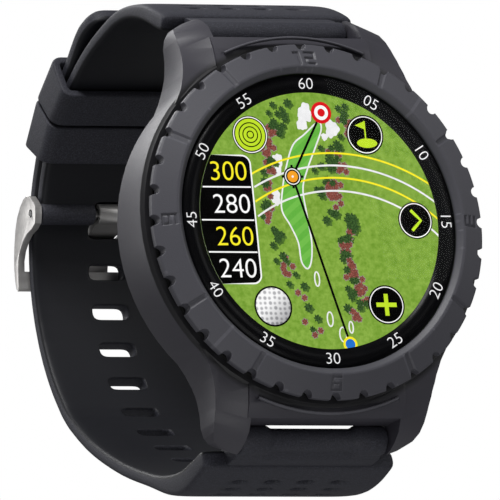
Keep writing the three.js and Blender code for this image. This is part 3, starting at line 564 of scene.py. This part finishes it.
# Trees and bushes stand in two loose belts on either side of the fairway.
trees = [(-3.0, 16.2), (-3.6, 14.0), (-4.6, 14.7), (-5.3, 13.1), (-4.3, 12.4), (-6.3, 8.4), (-7.6, 5.4), (-8.0, 1.9),
         (-6.6, -1.6), (-7.2, -3.4), (-5.9, -4.9), (-4.3, -7.4), (-3.2, -9.0), (-2.9, -11.9), (-1.7, -13.4),
         (-2.6, -14.9), (6.0, 16.0), (5.2, 14.1), (4.0, 10.2), (2.4, 9.1), (3.0, 8.2), (1.2, 7.6), (1.4, 5.3),
         (0.6, 3.9), (2.6, 1.0), (4.2, 0.2), (5.3, -0.8), (3.9, -2.5), (3.0, -5.2), (4.6, -8.2), (3.7, -10.4),
         (4.9, -11.9)]
bushes = [(-5.8, 12.2), (-6.5, 10.6), (-6.6, 9.4), (-6.9, 8.0), (-6.2, 7.0), (-7.3, 4.6), (-7.3, 0.9),
          (-5.9, -6.1), (-4.6, -6.3), (-5.3, -7.4), (-4.2, -9.9), (-3.3, -10.6), (-3.6, -13.9), (-2.3, -15.7),
          (-1.4, -15.1), (5.6, 13.2), (3.7, 9.0), (4.1, 7.2), (2.1, 4.6), (3.0, 5.0), (2.2, 3.2), (3.4, 3.4),
          (4.3, -1.6), (3.3, -3.4), (4.2, -3.2), (4.0, -6.4), (3.9, -7.5), (5.4, -9.8), (5.8, -11.0),
          (4.2, -12.9), (5.2, -8.8)]
scatter = np.random.default_rng(12)


def thickened(places, extra, spread):
    """The places, each with some seeded neighbours near it that stay clear of the fairway."""
    near = np.repeat(np.array(places), extra, axis=0)
    near = near + scatter.normal(0, spread, near.shape)
    middle = np.interp(near[:, 1], [-7, 0, 8, 14], [-2.5, -3.4, -2.8, 0.3])
    near = near[np.abs(near[:, 0] - middle) > 2.7]
    every = np.concatenate([np.array(places), near])
    return every[np.hypot(*every.T) < display_r - 0.8]


trees, bushes = thickened(trees, 3, 0.7), thickened(bushes, 4, 0.55)
sizes = scatter.uniform(0.36, 0.58, len(trees))
print_flat("tree_shadows", [blob(x + 0.3, z - 0.26, r * 1.05, 5, 0.18, k + 90, 24)
                            for k, ((x, z), r) in enumerate(zip(trees, sizes))], 4,
           lit_screen("tree_shadow", (0.045, 0.10, 0.018), (0.10, 0.20, 0.035)))
print_flat("bush_edges", [blob(x, z, 0.50, 6, 0.14, k + 40, 24) for k, (x, z) in enumerate(bushes)], 5,
           lit_screen("bush_edge", (0.16, 0.15, 0.13), (0.42, 0.38, 0.34), 9000))
print_flat("bushes", [blob(x, z, 0.40, 6, 0.2, k + 40, 24) for k, (x, z) in enumerate(bushes)], 6,
           lit_screen("bush_leaves", (0.06, 0.018, 0.014), (0.40, 0.12, 0.09), 9000, detail=2.0))
print_flat("trees", [blob(x, z, r, 7, 0.24, k, 28) for k, ((x, z), r) in enumerate(zip(trees, sizes))], 6.5,
           lit_screen("conifer", (0.004, 0.018, 0.006), (0.07, 0.15, 0.04), 6000, detail=2.0))

# Distance arcs swing about the player's marker; a black line runs from it by the layup to the flag.
me, layup, flag = np.array([2.8, -16.95]), np.array([-3.3, 6.05]), np.array([1.9, 14.9])
for name, reach, low, high, material in (
        ("arc_300", 26.3, 30, 117.5, yellow_ink), ("arc_280", 24.6, 30, 119, white_ink),
        ("arc_260", 22.9, 30, 121.5, yellow_ink), ("arc_240", 21.1, 30, 124, white_ink)):
    line = circle(*me, reach, 160, low, high)
    line = line[np.hypot(*line.T) < display_r + 0.4]
    print_flat(name, [stripe(line, 0.26)], 7, material)
black_light = lit_screen("black_light", (0.001, 0.001, 0.001), (0.003, 0.003, 0.003), 300)
print_flat("aim_line", [stripe(np.linspace(*ends, 3), 0.34) for ends in ((me, layup), (layup, flag))], 8, black_light)
white_light = lit_screen("white_light", (0.95, 0.95, 0.95), (1, 1, 1), 400)
red_light = lit_screen("red_light", (0.66, 0.008, 0.012), (0.76, 0.012, 0.02), 400)
orange_light = lit_screen("orange_light", (0.93, 0.36, 0.02), (0.98, 0.42, 0.03), 400)
blue_light = lit_screen("blue_light", (0.015, 0.14, 0.55), (0.02, 0.18, 0.66), 400)
lime_light = lit_screen("lime_light", (0.50, 0.72, 0.02), (0.56, 0.80, 0.03), 400)


def discs(name, x, z, steps):
    """Discs laid on each other from the widest down; steps pairs each radius with its material."""
    for k, (r, material) in enumerate(steps):
        print_flat(f"{name}_{k + 1}", [circle(x, z, r)], 9 + k, material)


discs("flag_target", *flag, [(1.5, red_light), (1.02, white_light), (0.55, red_light)])
ticks = [stripe(layup + np.outer([1.2, 1.62], np.array([math.cos(a), math.sin(a)])), 0.34)
         for a in np.radians([0, 90, 180, 270])]
print_flat("layup_ticks", ticks, 9, black_light)
discs("layup", *layup, [(1.32, black_light), (1.12, white_light), (0.98, black_light), (0.78, orange_light),
                        (0.16, white_light)])
discs("player", *me, [(1.05, yellow_ink), (0.72, blue_light)])
discs("rings_button", -9.0, 11.75, [(2.62, black_light), (2.5, white_light), (2.36, black_light), (2.2, lime_light),
                                   (1.72, black_light), (1.56, lime_light), (1.16, black_light), (1.0, lime_light),
                                   (0.56, black_light), (0.4, lime_light)])
discs("flag_button", 8.1, 11.9, [(2.75, black_light), (2.55, white_light), (2.42, black_light)])
discs("next_button", 14.35, 0.15, [(2.55, black_light), (2.38, white_light), (2.24, black_light)])
discs("plus_button", 8.75, -11.5, [(2.7, black_light), (2.5, white_light), (2.36, black_light)])
arrow = [(13.75, 1.55), (14.45, 0.85), (15.15, 0.15), (14.45, -0.55), (13.75, -1.25)]
print_flat("next_arrow", [stripe(arrow, 0.42)], 12, lime_light)
print_flat("plus_sign", [stripe([(7.25, -11.5), (10.25, -11.5)], 0.6), stripe([(8.75, -10.0), (8.75, -13.0)], 0.6)],
           12, lime_light)
print_flat("flag_sign", [[(8.1, 13.75), (8.1, 12.65), (6.7, 13.2)], stripe([(8.15, 13.8), (8.15, 10.95)], 0.2),
                         circle(0, 0, 1, 40) * (1.5, 0.65) + (8.3, 10.75)], 12, lime_light)

# The distances stand in a black panel whose right corners are rounded and whose left side is the dial's.
panel_top, panel_low, panel_side, corner = 9.0, -8.8, -9.3, 1.3
edge_top = math.degrees(math.acos(-math.sqrt(1 - (panel_top / display_r) ** 2)))
edge_low = 360 - math.degrees(math.acos(-math.sqrt(1 - (panel_low / display_r) ** 2)))


def panel_outline(grow):
    upper = circle(panel_side - corner, panel_top - corner, corner + grow, 8, 90, 0)
    lower = circle(panel_side - corner, panel_low + corner, corner + grow, 8, 0, -90)
    rim = circle(0, 0, display_r - 0.05, 30, edge_low, edge_top)
    return np.concatenate([upper, lower, rim])


print_flat("panel_edge", [panel_outline(0.0)], 9, white_light)
print_flat("panel", [panel_outline(-0.22)], 10, black_light)
rule_end = display_r - 0.25
print_flat("panel_rules", [stripe([(-math.sqrt(rule_end ** 2 - z * z), z), (panel_side - 0.35, z)], 0.2)
                           for z in (4.55, 0.0, -4.4)], 11, white_light)


def distance(text, z):
    return text, 2.6, -12.75, z, 0, 1.0, -0.008


lettering("panel_yellow", [distance("300", 6.75), distance("260", -2.2)], 11, yellow_ink)
lettering("panel_white", [distance("280", 2.25), distance("240", -6.6)], 11, white_light)

# The golf ball button: a white ball shaded to one side, its dimples darker pits.
ball_x, ball_z = -8.1, -11.8
discs("ball_button", ball_x, ball_z, [(2.8, black_light)])
net = Finish("ball_cover")
at = net.add("ShaderNodeTexCoord")["Object"]
x, z = (net.add("ShaderNodeSeparateXYZ", {}, {0: at})[axis] for axis in ("X", "Z"))
pits = net.add("ShaderNodeTexVoronoi", {"feature": "F1"}, {"Vector": at, "Scale": 1400.0, "Randomness": 0.2})
shade = (ball_x - x * 1000) * 0.13 + (z * 1000 - ball_z) * 0.13 + 0.62
dimple = net.ramp(pits, (0.26, (0.36, 0.36, 0.38)), (0.48, (1, 1, 1)))
lit_side = net.ramp(shade, (0.05, (0.30, 0.30, 0.31)), (0.75, (0.98, 0.98, 0.98)))
ball = net.add("ShaderNodeMix", {"data_type": "RGBA", "blend_type": "MULTIPLY"}, {0: 0.85, 6: lit_side, 7: dimple})
print_flat("ball", [circle(ball_x, ball_z, 2.55)], 10, net.glow(Wire(net, ball.socket.node.outputs[2])))

# ------------------------ strap halves
# Two moulded rubber bands. Each has a roll round its spring bar between the lugs, opens out to ears
# behind the lug tips and narrows towards the buckle. Outside it is finely grained, inside smooth.


def rubber(name, colour, grain, rough=0.6, glint=0.5):
    """Matt silicone rubber with a fine sandy grain whose high points are painted paler, a painted highlight for the
    light they catch.
    """
    net = Finish(name)
    cloud = net.noise(45, 3.0)
    sand = net.noise(6200, 2.0)
    crumb = net.add("ShaderNodeTexVoronoi", {"feature": "F1"}, {"Vector": net.place(), "Scale": 4200.0})
    deep, pale = tuple(c * 0.72 for c in colour), tuple(c * 1.9 for c in colour)
    base = net.mix(cloud, tuple(c * 0.88 for c in colour), colour)
    # Painted highlight: where the grain's bump stands highest the colour is painted paler, as if it caught the light.
    grain_glints = net.ramp(sand, (0.45, (0, 0, 0)), (0.72, (glint, glint, glint)))
    base = net.mix(grain_glints, net.mix(net.ramp(crumb, (0.2, (0, 0, 0)), (0.7, (0.5, 0.5, 0.5))), base, deep), pale)
    tall = net.bump(sand * 0.6 + crumb * 0.4, 0.00004 * grain, 0.6)
    roughness = net.between(cloud, rough - 0.05, rough + 0.06) + (sand - 0.5) * 0.15
    return net.surface(Base_Color=base, Roughness=roughness, Normal=net.bump(cloud, 0.00006, 0.3, tall),
                       Specular_IOR_Level=0.3)


# The grained outside carries a strong painted highlight on its grain and the smooth inside a faint one.
outer_rubber = rubber("grained_rubber", (0.0300, 0.0305, 0.0395), 2.0, glint=1.0)
inner_rubber = rubber("smooth_rubber", (0.0095, 0.0100, 0.0135), 0.4, rough=0.52, glint=0.15)
loop_y, loop_z, inner_r, outer_r = 22.0, 6.0, 28.3, 30.5
strap_half, ear_half = 11.0, 14.2


def on_loop(r, degrees):
    a = np.radians(degrees)
    return np.stack([loop_y + r * np.cos(a), loop_z + r * np.sin(a)], axis=-1)


def walked(points):
    """A smooth curve through (y, z) points: its length, and a function that gives places and headings
    at distances along it."""
    p = np.asarray(points, dtype=float)
    p = np.concatenate([p[:1], p, p[-1:]])
    curve = np.concatenate([spline(*(p[k:len(p) - 3 + k] for k in range(4)), 60), p[-1:]])
    run = np.concatenate([[0], np.cumsum(np.linalg.norm(np.diff(curve, axis=0), axis=1))])
    keep = np.concatenate([[True], np.diff(run) > 1e-9])
    curve, run = curve[keep], run[keep]
    slope = np.gradient(curve, run, axis=0)

    def at(s):
        place = np.stack([np.interp(s, run, curve[:, k]) for k in (0, 1)], axis=-1)
        ahead = np.stack([np.interp(s, run, slope[:, k]) for k in (0, 1)], axis=-1)
        return place, ahead / np.linalg.norm(ahead, axis=-1, keepdims=True)

    return run[-1], at


def stations(length, rows):
    """Distances for a strap's cross lines: even ones, and four at each row of holes (centre, half size)."""
    tight = np.concatenate([[c - half - 0.5, c - half, c + half, c + half + 0.5] for c, half in rows])
    loose = np.arange(2.6, length - 1.5, 2.4)
    loose = loose[np.abs(loose[:, None] - tight[None, :]).min(axis=1) > 0.8]
    every = np.concatenate([[0, 0.4, length - 0.4, length], tight, loose])
    return np.unique(np.round(every[every <= length + 1e-6], 4))


def band(name, path, outward, width_at, thick_at, lines, columns, gone, body, node):
    """A strap half as a grid of cells with a face each side; gone(s, x) says which cells are left out."""
    length, at = path
    place, ahead = at(lines)
    normal = np.stack([-ahead[:, 1], ahead[:, 0]], axis=1) * outward
    wide = width_at(lines)
    inner = np.outer(np.clip(wide / 10.2, 0, 1), np.concatenate([-np.array(columns), columns[::-1]]))
    x = np.concatenate([-wide[:, None], 0.4 - wide[:, None], inner, wide[:, None] - 0.4, wide[:, None]], axis=1)
    n, m = x.shape
    half = thick_at(lines)[:, None] / 2 + 0 * x
    half[:, [0, -1]] -= 0.34
    half[[0, -1], :] -= 0.34
    layers = [np.stack([x, *(place[:, None, k] + normal[:, None, k] * d for k in (0, 1))], axis=2)
              for d in (half, -half)]
    there = np.zeros((n + 1, m + 1), dtype=bool)
    mid_s, mid_x = (lines[:-1] + lines[1:]) / 2, (x[:-1, :-1] + x[1:, 1:]) / 2
    there[:n - 1, :m - 1] = ~gone(mid_s[:, None], mid_x)
    faces, undersides, rims = [], [], set()
    for i, j in zip(*np.nonzero(there)):
        a, b, c, d = i * m + j, i * m + j + 1, (i + 1) * m + j + 1, (i + 1) * m + j
        faces.append([a, b, c, d])
        undersides.append([v + n * m for v in (a, b, c, d)])
        for (di, dj), (p, q) in {(-1, 0): (a, b), (0, 1): (b, c), (1, 0): (c, d), (0, -1): (d, a)}.items():
            if not there[i + di, j + dj]:
                faces.append([p, q, q + n * m, p + n * m])
                if 0 <= i + di < n - 1 and 0 <= j + dj < m - 1:
                    rims |= {frozenset((p, q)), frozenset((p + n * m, q + n * m))}
    points = np.concatenate([layer.reshape(-1, 3) for layer in layers])
    made = from_arrays(name, points, faces + undersides)
    mesh = made.data
    mesh.materials.append(outer_rubber)
    mesh.materials.append(inner_rubber)
    which = np.concatenate([np.zeros(len(faces), dtype=int), np.ones(len(undersides), dtype=int)])
    mesh.polygons.foreach_set("material_index", which)
    crease = mesh.attributes.new("crease_edge", "FLOAT", "EDGE")
    crease.data.foreach_set("value", [0.75 if frozenset(edge.vertices) in rims else 0.0 for edge in mesh.edges])
    work = bmesh.new()
    work.from_mesh(mesh)
    bmesh.ops.delete(work, geom=[v for v in work.verts if not v.link_faces], context="VERTS")
    work.to_mesh(mesh)
    work.free()
    smooth = made.modifiers.new("smooth", "SUBSURF")
    smooth.levels = smooth.render_levels = 2
    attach(made, body)
    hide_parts(node)


def strap_width(s):
    return ear_half + (strap_half - ear_half) * eased(s, 2, 28)


def along_x(name, outline, x0, x1, material, soft=0.3):
    """A closed (y, z) outline carried along X, its two ends rounded over."""
    outline = np.asarray(outline, dtype=float)
    centre = outline.mean(axis=0)
    away = outline - centre
    away /= np.linalg.norm(away, axis=1)[:, None]
    rows = []
    for x, into in ((x0, soft), (x0 + soft * 0.13, soft * 0.5), (x0 + soft * 0.5, soft * 0.13), (x0 + soft, 0.0),
                    (x1 - soft, 0.0), (x1 - soft * 0.5, soft * 0.13), (x1 - soft * 0.13, soft * 0.5), (x1, soft)):
        shrunk = outline - away * into
        rows.append(np.column_stack([np.full(len(shrunk), x), shrunk]))
    return skin(name, np.array(rows), material)


def held(piece, body):
    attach(piece, body)


bar_y, bar_z, roll_r, roll_points, roll_half = -4.9, 27.9, 1.9, 22, 10.8
a = np.radians(np.linspace(75, 285, roll_points))
roll = np.stack([bar_y + roll_r * np.cos(a), bar_z + roll_r * np.sin(a)], axis=1)
upper_neck = np.concatenate([roll, [(-2.6, 26.75), (-1.0, 27.4), (0.5, 28.3), (1.6, 29.3), (1.5, 30.7), (1.0, 31.9),
                                    (-1.4, 31.2), (-3.6, 30.4)]])
lower_neck = np.concatenate([roll, [(-2.8, 26.7), (-1.6, 27.3), (-0.4, 27.8), (0.4, 28.2), (0.4, 30.7), (-1.8, 30.5),
                                    (-3.6, 30.25)]]) * (1, -1)
held(along_x("upper_strap_roll", upper_neck, -roll_half, roll_half, outer_rubber), "strap_upper")
# The lower roll is thinner in its middle, which leaves a slit of daylight between it and the case. Its
# two ends are rounded over.
rows, soft, centre = [], 0.3, np.array([bar_y, -bar_z])
half_row = np.array([5.8, 6.2, 6.5, 6.9, roll_half - soft, roll_half - 0.08, roll_half])
for x in (*-half_row[::-1], 0, *half_row):
    row = lower_neck.copy()
    row[:roll_points] = centre + (row[:roll_points] - centre) * (0.82 + 0.26 * eased(abs(x), 5.8, 6.9))
    past = max(0.0, (abs(x) - roll_half + soft) / soft)
    into = soft * (1 - math.sqrt(max(0.0, 1 - past ** 2)))
    middle = row.mean(axis=0)
    row = row - (row - middle) / np.linalg.norm(row - middle, axis=1)[:, None] * into
    rows.append(np.column_stack([np.full(len(row), x), row]))
held(skin("lower_strap_roll", np.array(rows), outer_rubber), "strap_lower")

pin_angle = 21.4
upper_path = walked(np.concatenate([
    [(-1.6, 30.2), (3.6, 32.9), (8.6, 34.5), (14.0, 35.6), (20.0, 35.9), (26.3, 34.8), (30.8, 33.2)],
    on_loop(inner_r, np.linspace(64, pin_angle + 1, 8))]))
lower_path = walked(np.concatenate([
    [(-1.0, -29.5), (3.4, -30.5), (8.0, -30.75), (15.1, -29.4), (23.0, -26.8), (31.0, -23.4), (39.3, -18.6)],
    on_loop(outer_r, np.linspace(-40, 64, 18)), [(32.2, 36.0), (29.6, 37.6), (27.0, 39.0)]]))
vents = [3.9, 6.2, 8.5, 10.8]


def vented(s, x):
    """True where the short oval air holes near the case are: four across in each row."""
    row = np.abs(s - np.array(vents)[:, None, None]).min(axis=0) < 0.55
    across = (np.abs(np.abs(x) - 2.45) < 1.1) | (np.abs(np.abs(x) - 7.35) < 1.1)
    return row & across


# The buckle end of the upper half is cut out round the tongue.
upper_end = upper_path[0] - 1.3
band("upper_band", upper_path, 1, strap_width, lambda s: 2.6 - 0.6 * eased(s, 2, 16),
     stations(upper_path[0], [(c, 0.55) for c in vents] + [(upper_path[0] - 0.85, 0.45)]),
     (8.45, 6.25, 3.55, 2.95, 1.35), lambda s, x: vented(s, x) | ((s > upper_end) & (np.abs(x) < 2.9)),
     "strap_upper", "upper_strap")

# Eleven adjusting slots run down the tail; the tongue stands in the third from its end.
slot_pitch, steps = 5.8, np.arange(0, lower_path[0], 0.1)
from_tongue = np.linalg.norm(lower_path[1](steps)[0] - on_loop(outer_r, pin_angle - 4.9), axis=1)
slots = steps[from_tongue.argmin()] + slot_pitch * (2 - np.arange(11))


def tail_width(s):
    left = lower_path[0] - s
    return strap_width(s) - np.where(left > 3, 0, 3 - 0.92 * np.sqrt(np.clip(9 - (3 - left) ** 2, 0, None)))


def slotted(s, x):
    return (np.abs(s - slots[:, None, None]).min(axis=0) < 1.1) & (np.abs(x) < 2.7)


tip_lines = lower_path[0] - np.array([3.4, 2.6, 1.9, 1.3, 0.8])
lines = stations(lower_path[0], [(c, 0.55) for c in vents] + [(c, 1.1) for c in slots])
lines = np.sort(np.concatenate([lines[(lines < tip_lines[0] - 0.6) | (lines > tip_lines[-1] + 0.2)], tip_lines]))
band("lower_band", lower_path, -1, tail_width, lambda s: 3.4 - 1.4 * eased(s, 8, 26) - 0.5 * (1 - eased(s, 0, 7)),
     lines, (8.45, 6.25, 3.55, 2.75, 1.35),
     lambda s, x: vented(s, x) | slotted(s, x), "strap_lower", "lower_strap")

# The buckle end is folded round the buckle bar and shows as a roll on each side of the tongue.


def about_x(name, profile, y, z, material, steps=48):
    """A closed loop of (radius, x) pairs turned about a line along X through (y, z)."""
    profile = np.asarray(profile, dtype=float)
    a = np.linspace(0, 2 * np.pi, steps, endpoint=False)[:, None]
    r, x = profile[None, :, 0], profile[None, :, 1] + 0 * a
    return skin(name, np.stack([x, y + r * np.cos(a), z + r * np.sin(a)], axis=2), material, looped=True)


pin_y, pin_z = on_loop(inner_r - 0.4, pin_angle)
for side_name, sign in (("left", -1), ("right", 1)):
    ends = [(0.95, 3.0), (1.25, 3.0), (1.43, 3.07), (1.5, 3.25), (1.5, 10.7), (1.43, 10.93), (1.25, 11.0),
            (0.95, 11.0)]
    held(about_x(f"buckle_roll_{side_name}", [(r, sign * x) for r, x in ends], pin_y, pin_z, outer_rubber),
         "strap_upper")

# ------------------------ keepers
# Two flat rubber loops hold the tail down. The one nearer the buckle is fixed to the strap and the
# other slides. They are moulded in the straps' rubber and wrap both layers with a little room.


def round_cornered(half_a, half_b, corner, count):
    """A rectangle with round corners: its points, and the direction out of it at each."""
    a = np.radians((np.arange(4)[:, None] * 90 + np.linspace(0, 90, count)).ravel())
    out = np.stack([np.cos(a), np.sin(a)], axis=1)
    signs = np.repeat([(1, 1), (-1, 1), (-1, -1), (1, -1)], count, axis=0)
    return signs * (half_a - corner, half_b - corner) + corner * out, out


def keeper(name, start, body, node):
    """A flat loop round both strap layers, from start degrees on; half_strap is half a layer's thickness."""
    wall, long_deg, half_strap, room = 1.2, 12.4, 1.0, 0.3
    inside, outside = inner_r - half_strap - room - wall, outer_r + half_strap + room + wall
    middle = (inside + outside) / 2
    loop, out = round_cornered(strap_half + room + wall, (outside - inside) / 2, 1.7, 9)
    section = round_cornered(wall / 2, np.radians(long_deg) / 2 * middle, 0.32, 5)[0] - (wall / 2, 0)
    x = loop[:, None, 0] + out[:, None, 0] * section[None, :, 0]
    r = middle + loop[:, None, 1] + out[:, None, 1] * section[None, :, 0]
    degrees = start + long_deg / 2 + np.degrees(section[None, :, 1] / middle) + 0 * x
    yz = on_loop(r, degrees)
    made = skin(name, np.concatenate([x[:, :, None], yz], axis=2), outer_rubber, looped=True)
    held(made, body)
    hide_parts(node)


keeper("keeper_fixed", 37.6, "strap_upper", "fixed_keeper")
keeper("keeper_sliding", 50.9, "keeper", "free_keeper")

# ------------------------ buckle and spring bars
# The buckle's frame and tongue are bent and stamped from stainless steel, brushed along their length
# and polished on the edges. They turn on a sprung bar; two more such bars hold the strap to the lugs.


def steel(name, colour, rough, stretch=(60, 2600, 2600), metal=1.0):
    """Brushed steel: fine scratches along X, faint stains, and a slow change of tone."""
    net = Finish(name)
    hair = net.noise(1.0, 4.0, at=net.place(scale=stretch))
    stain = net.noise(120, 3.0)
    base = net.mix(hair, tuple(c * 0.72 for c in colour), colour)
    base = net.mix(stain * 0.35, base, tuple(c * 0.55 for c in colour))
    return net.surface(Base_Color=base, Metallic=metal, Roughness=net.between(hair, rough - 0.07, rough + 0.12),
                       Normal=net.bump(hair, 0.00001, 0.4))


def dress(material, *nodes):
    """Gives CAD pieces that keep their own shape a material."""
    for node in nodes:
        mesh = frame["nodes"][node].data
        mesh.materials.clear()
        mesh.materials.append(material)


buckle_steel = steel("brushed_steel", (0.84, 0.82, 0.80), 0.36, metal=0.8)
softened("buckle_rails", "buckle_frame", 0.3, buckle_steel, segments=4, angle=25)
softened("buckle_pin", "buckle_tongue", 0.28, buckle_steel, segments=4, angle=25)
bar_steel = steel("bar_steel", (0.34, 0.34, 0.34), 0.3, stretch=(1500, 300, 300))
bars = ("upper_lug_bar", "lower_lug_bar", "buckle_bar")
dress(bar_steel, *(f"{name}_{part}" for name in bars for part in ("tube", "tip_left", "tip_right")))

# ------------------------ buttons
# Two round push buttons of dark satin steel stand in sunk seats at 2 and 4 o'clock. Each stem is held
# by a clip, sealed by a rubber ring and pushed out by a spring, and presses a switch inside.
button_steel = steel("button_steel", (0.16, 0.16, 0.165), 0.38, stretch=(900, 900, 900))
for which in ("upper", "lower"):
    softened(f"push_button_{which}", f"button_{which}", 0.2, button_steel, segments=4, angle=25)
    coil = softened(f"press_spring_{which}", f"button_{which}_spring", 0.02, bar_steel,
                    segments=1, angle=60)
    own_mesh(coil)
dress(bar_steel, "button_upper_clip", "button_lower_clip")
seal = rubber("seal_rubber", (0.009, 0.009, 0.009), 0.3, rough=0.45, glint=0.1)
dress(seal, "button_upper_seal", "button_lower_seal", "bezel_friction_ring", "back_seal")

# ------------------------ back of the case
# A smoked glass window over the pulse sensor stands proud of the cover; below it are four gold
# charging contacts, and four socket screws hold the cover.
net = Finish("smoked_glass")
haze = net.noise(70, 3.0)
smoked = net.surface(Base_Color=net.mix(haze, (0.006, 0.006, 0.008), (0.012, 0.012, 0.015)),
                     Roughness=net.between(haze, 0.06, 0.14), Coat_Weight=0.4)
window = turned("sensor_lens", [(0, -2.35), (7.45, -2.35), (7.45, -1.4), (8.35, -1.4), (8.4, -0.7), (8.3, -0.45),
                                (7.9, -0.18), (7.2, -0.04), (6.2, 0.0), (0, 0.0)], smoked, 96)
held(window, "case")
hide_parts("sensor_window")
net = Finish("gold_plate")
rub = net.noise(700, 3.0)
gold = net.surface(Base_Color=net.mix(rub, (0.68, 0.46, 0.16), (0.86, 0.62, 0.26)), Metallic=1.0,
                   Roughness=net.between(rub, 0.18, 0.36), Normal=net.bump(rub, 0.00001, 0.4))
screw_steel = steel("screw_steel", (0.26, 0.26, 0.27), 0.3)
for k in range(1, 5):
    softened(f"charging_pad_{k}", f"charge_contact_{k}", 0.12, gold, angle=40)
    softened(f"cover_screw_{k}", f"back_screw_{k}", 0.1, screw_steel, angle=40)

# ------------------------ inside the case
# Behind the display lie a plastic tray, the circuit board with its aerial, shield and motor, a foil
# battery, and the small sensor board under the window. None of it shows while the watch is closed.


def plain_finish(name, low, high, scale, rough, metal=0.0, depth=0.00003):
    """A mottled finish between two tones, for pieces that are seen only with the watch open."""
    net = Finish(name)
    mottle = net.noise(scale, 4.0)
    return net.surface(Base_Color=net.ramp(mottle, (0.35, low), (0.65, high)), Metallic=metal,
                       Roughness=net.between(mottle, rough - 0.08, rough + 0.1), Normal=net.bump(mottle, depth, 0.4))


net = Finish("circuit_board")
tracks = net.add("ShaderNodeTexBrick", {"offset": 0.37, "squash": 1.6}, {
    "Vector": net.place(turn=(math.radians(90), 0, 0)), "Scale": 420.0, "Mortar Size": 0.03,
    "Color1": (0.006, 0.075, 0.035), "Color2": (0.010, 0.10, 0.045), "Mortar": (0.02, 0.19, 0.08)})
dress(net.surface(Base_Color=tracks, Roughness=net.between(net.noise(500), 0.3, 0.45)), "main_board",
      "pulse_sensor_board")
dress(plain_finish("inner_plastic", (0.018, 0.018, 0.02), (0.03, 0.03, 0.033), 900, 0.55), "display_frame",
      "button_upper_switch", "button_lower_switch")
dress(plain_finish("fired_ceramic", (0.60, 0.50, 0.34), (0.70, 0.61, 0.44), 1400, 0.5), "gps_antenna",
      "pulse_sensor_lamp_1", "pulse_sensor_lamp_2")
dress(plain_finish("foil_pouch", (0.45, 0.46, 0.48), (0.62, 0.63, 0.65), 260, 0.34, 0.9, 0.00015), "battery")
dress(plain_finish("tinned_shield", (0.46, 0.46, 0.45), (0.60, 0.60, 0.58), 700, 0.32, 1.0), "processor_shield",
      "vibration_motor")
dress(plain_finish("panel_back", (0.02, 0.02, 0.022), (0.035, 0.035, 0.04), 600, 0.35), "display_panel")
dress(black_ink, "minute_ring")
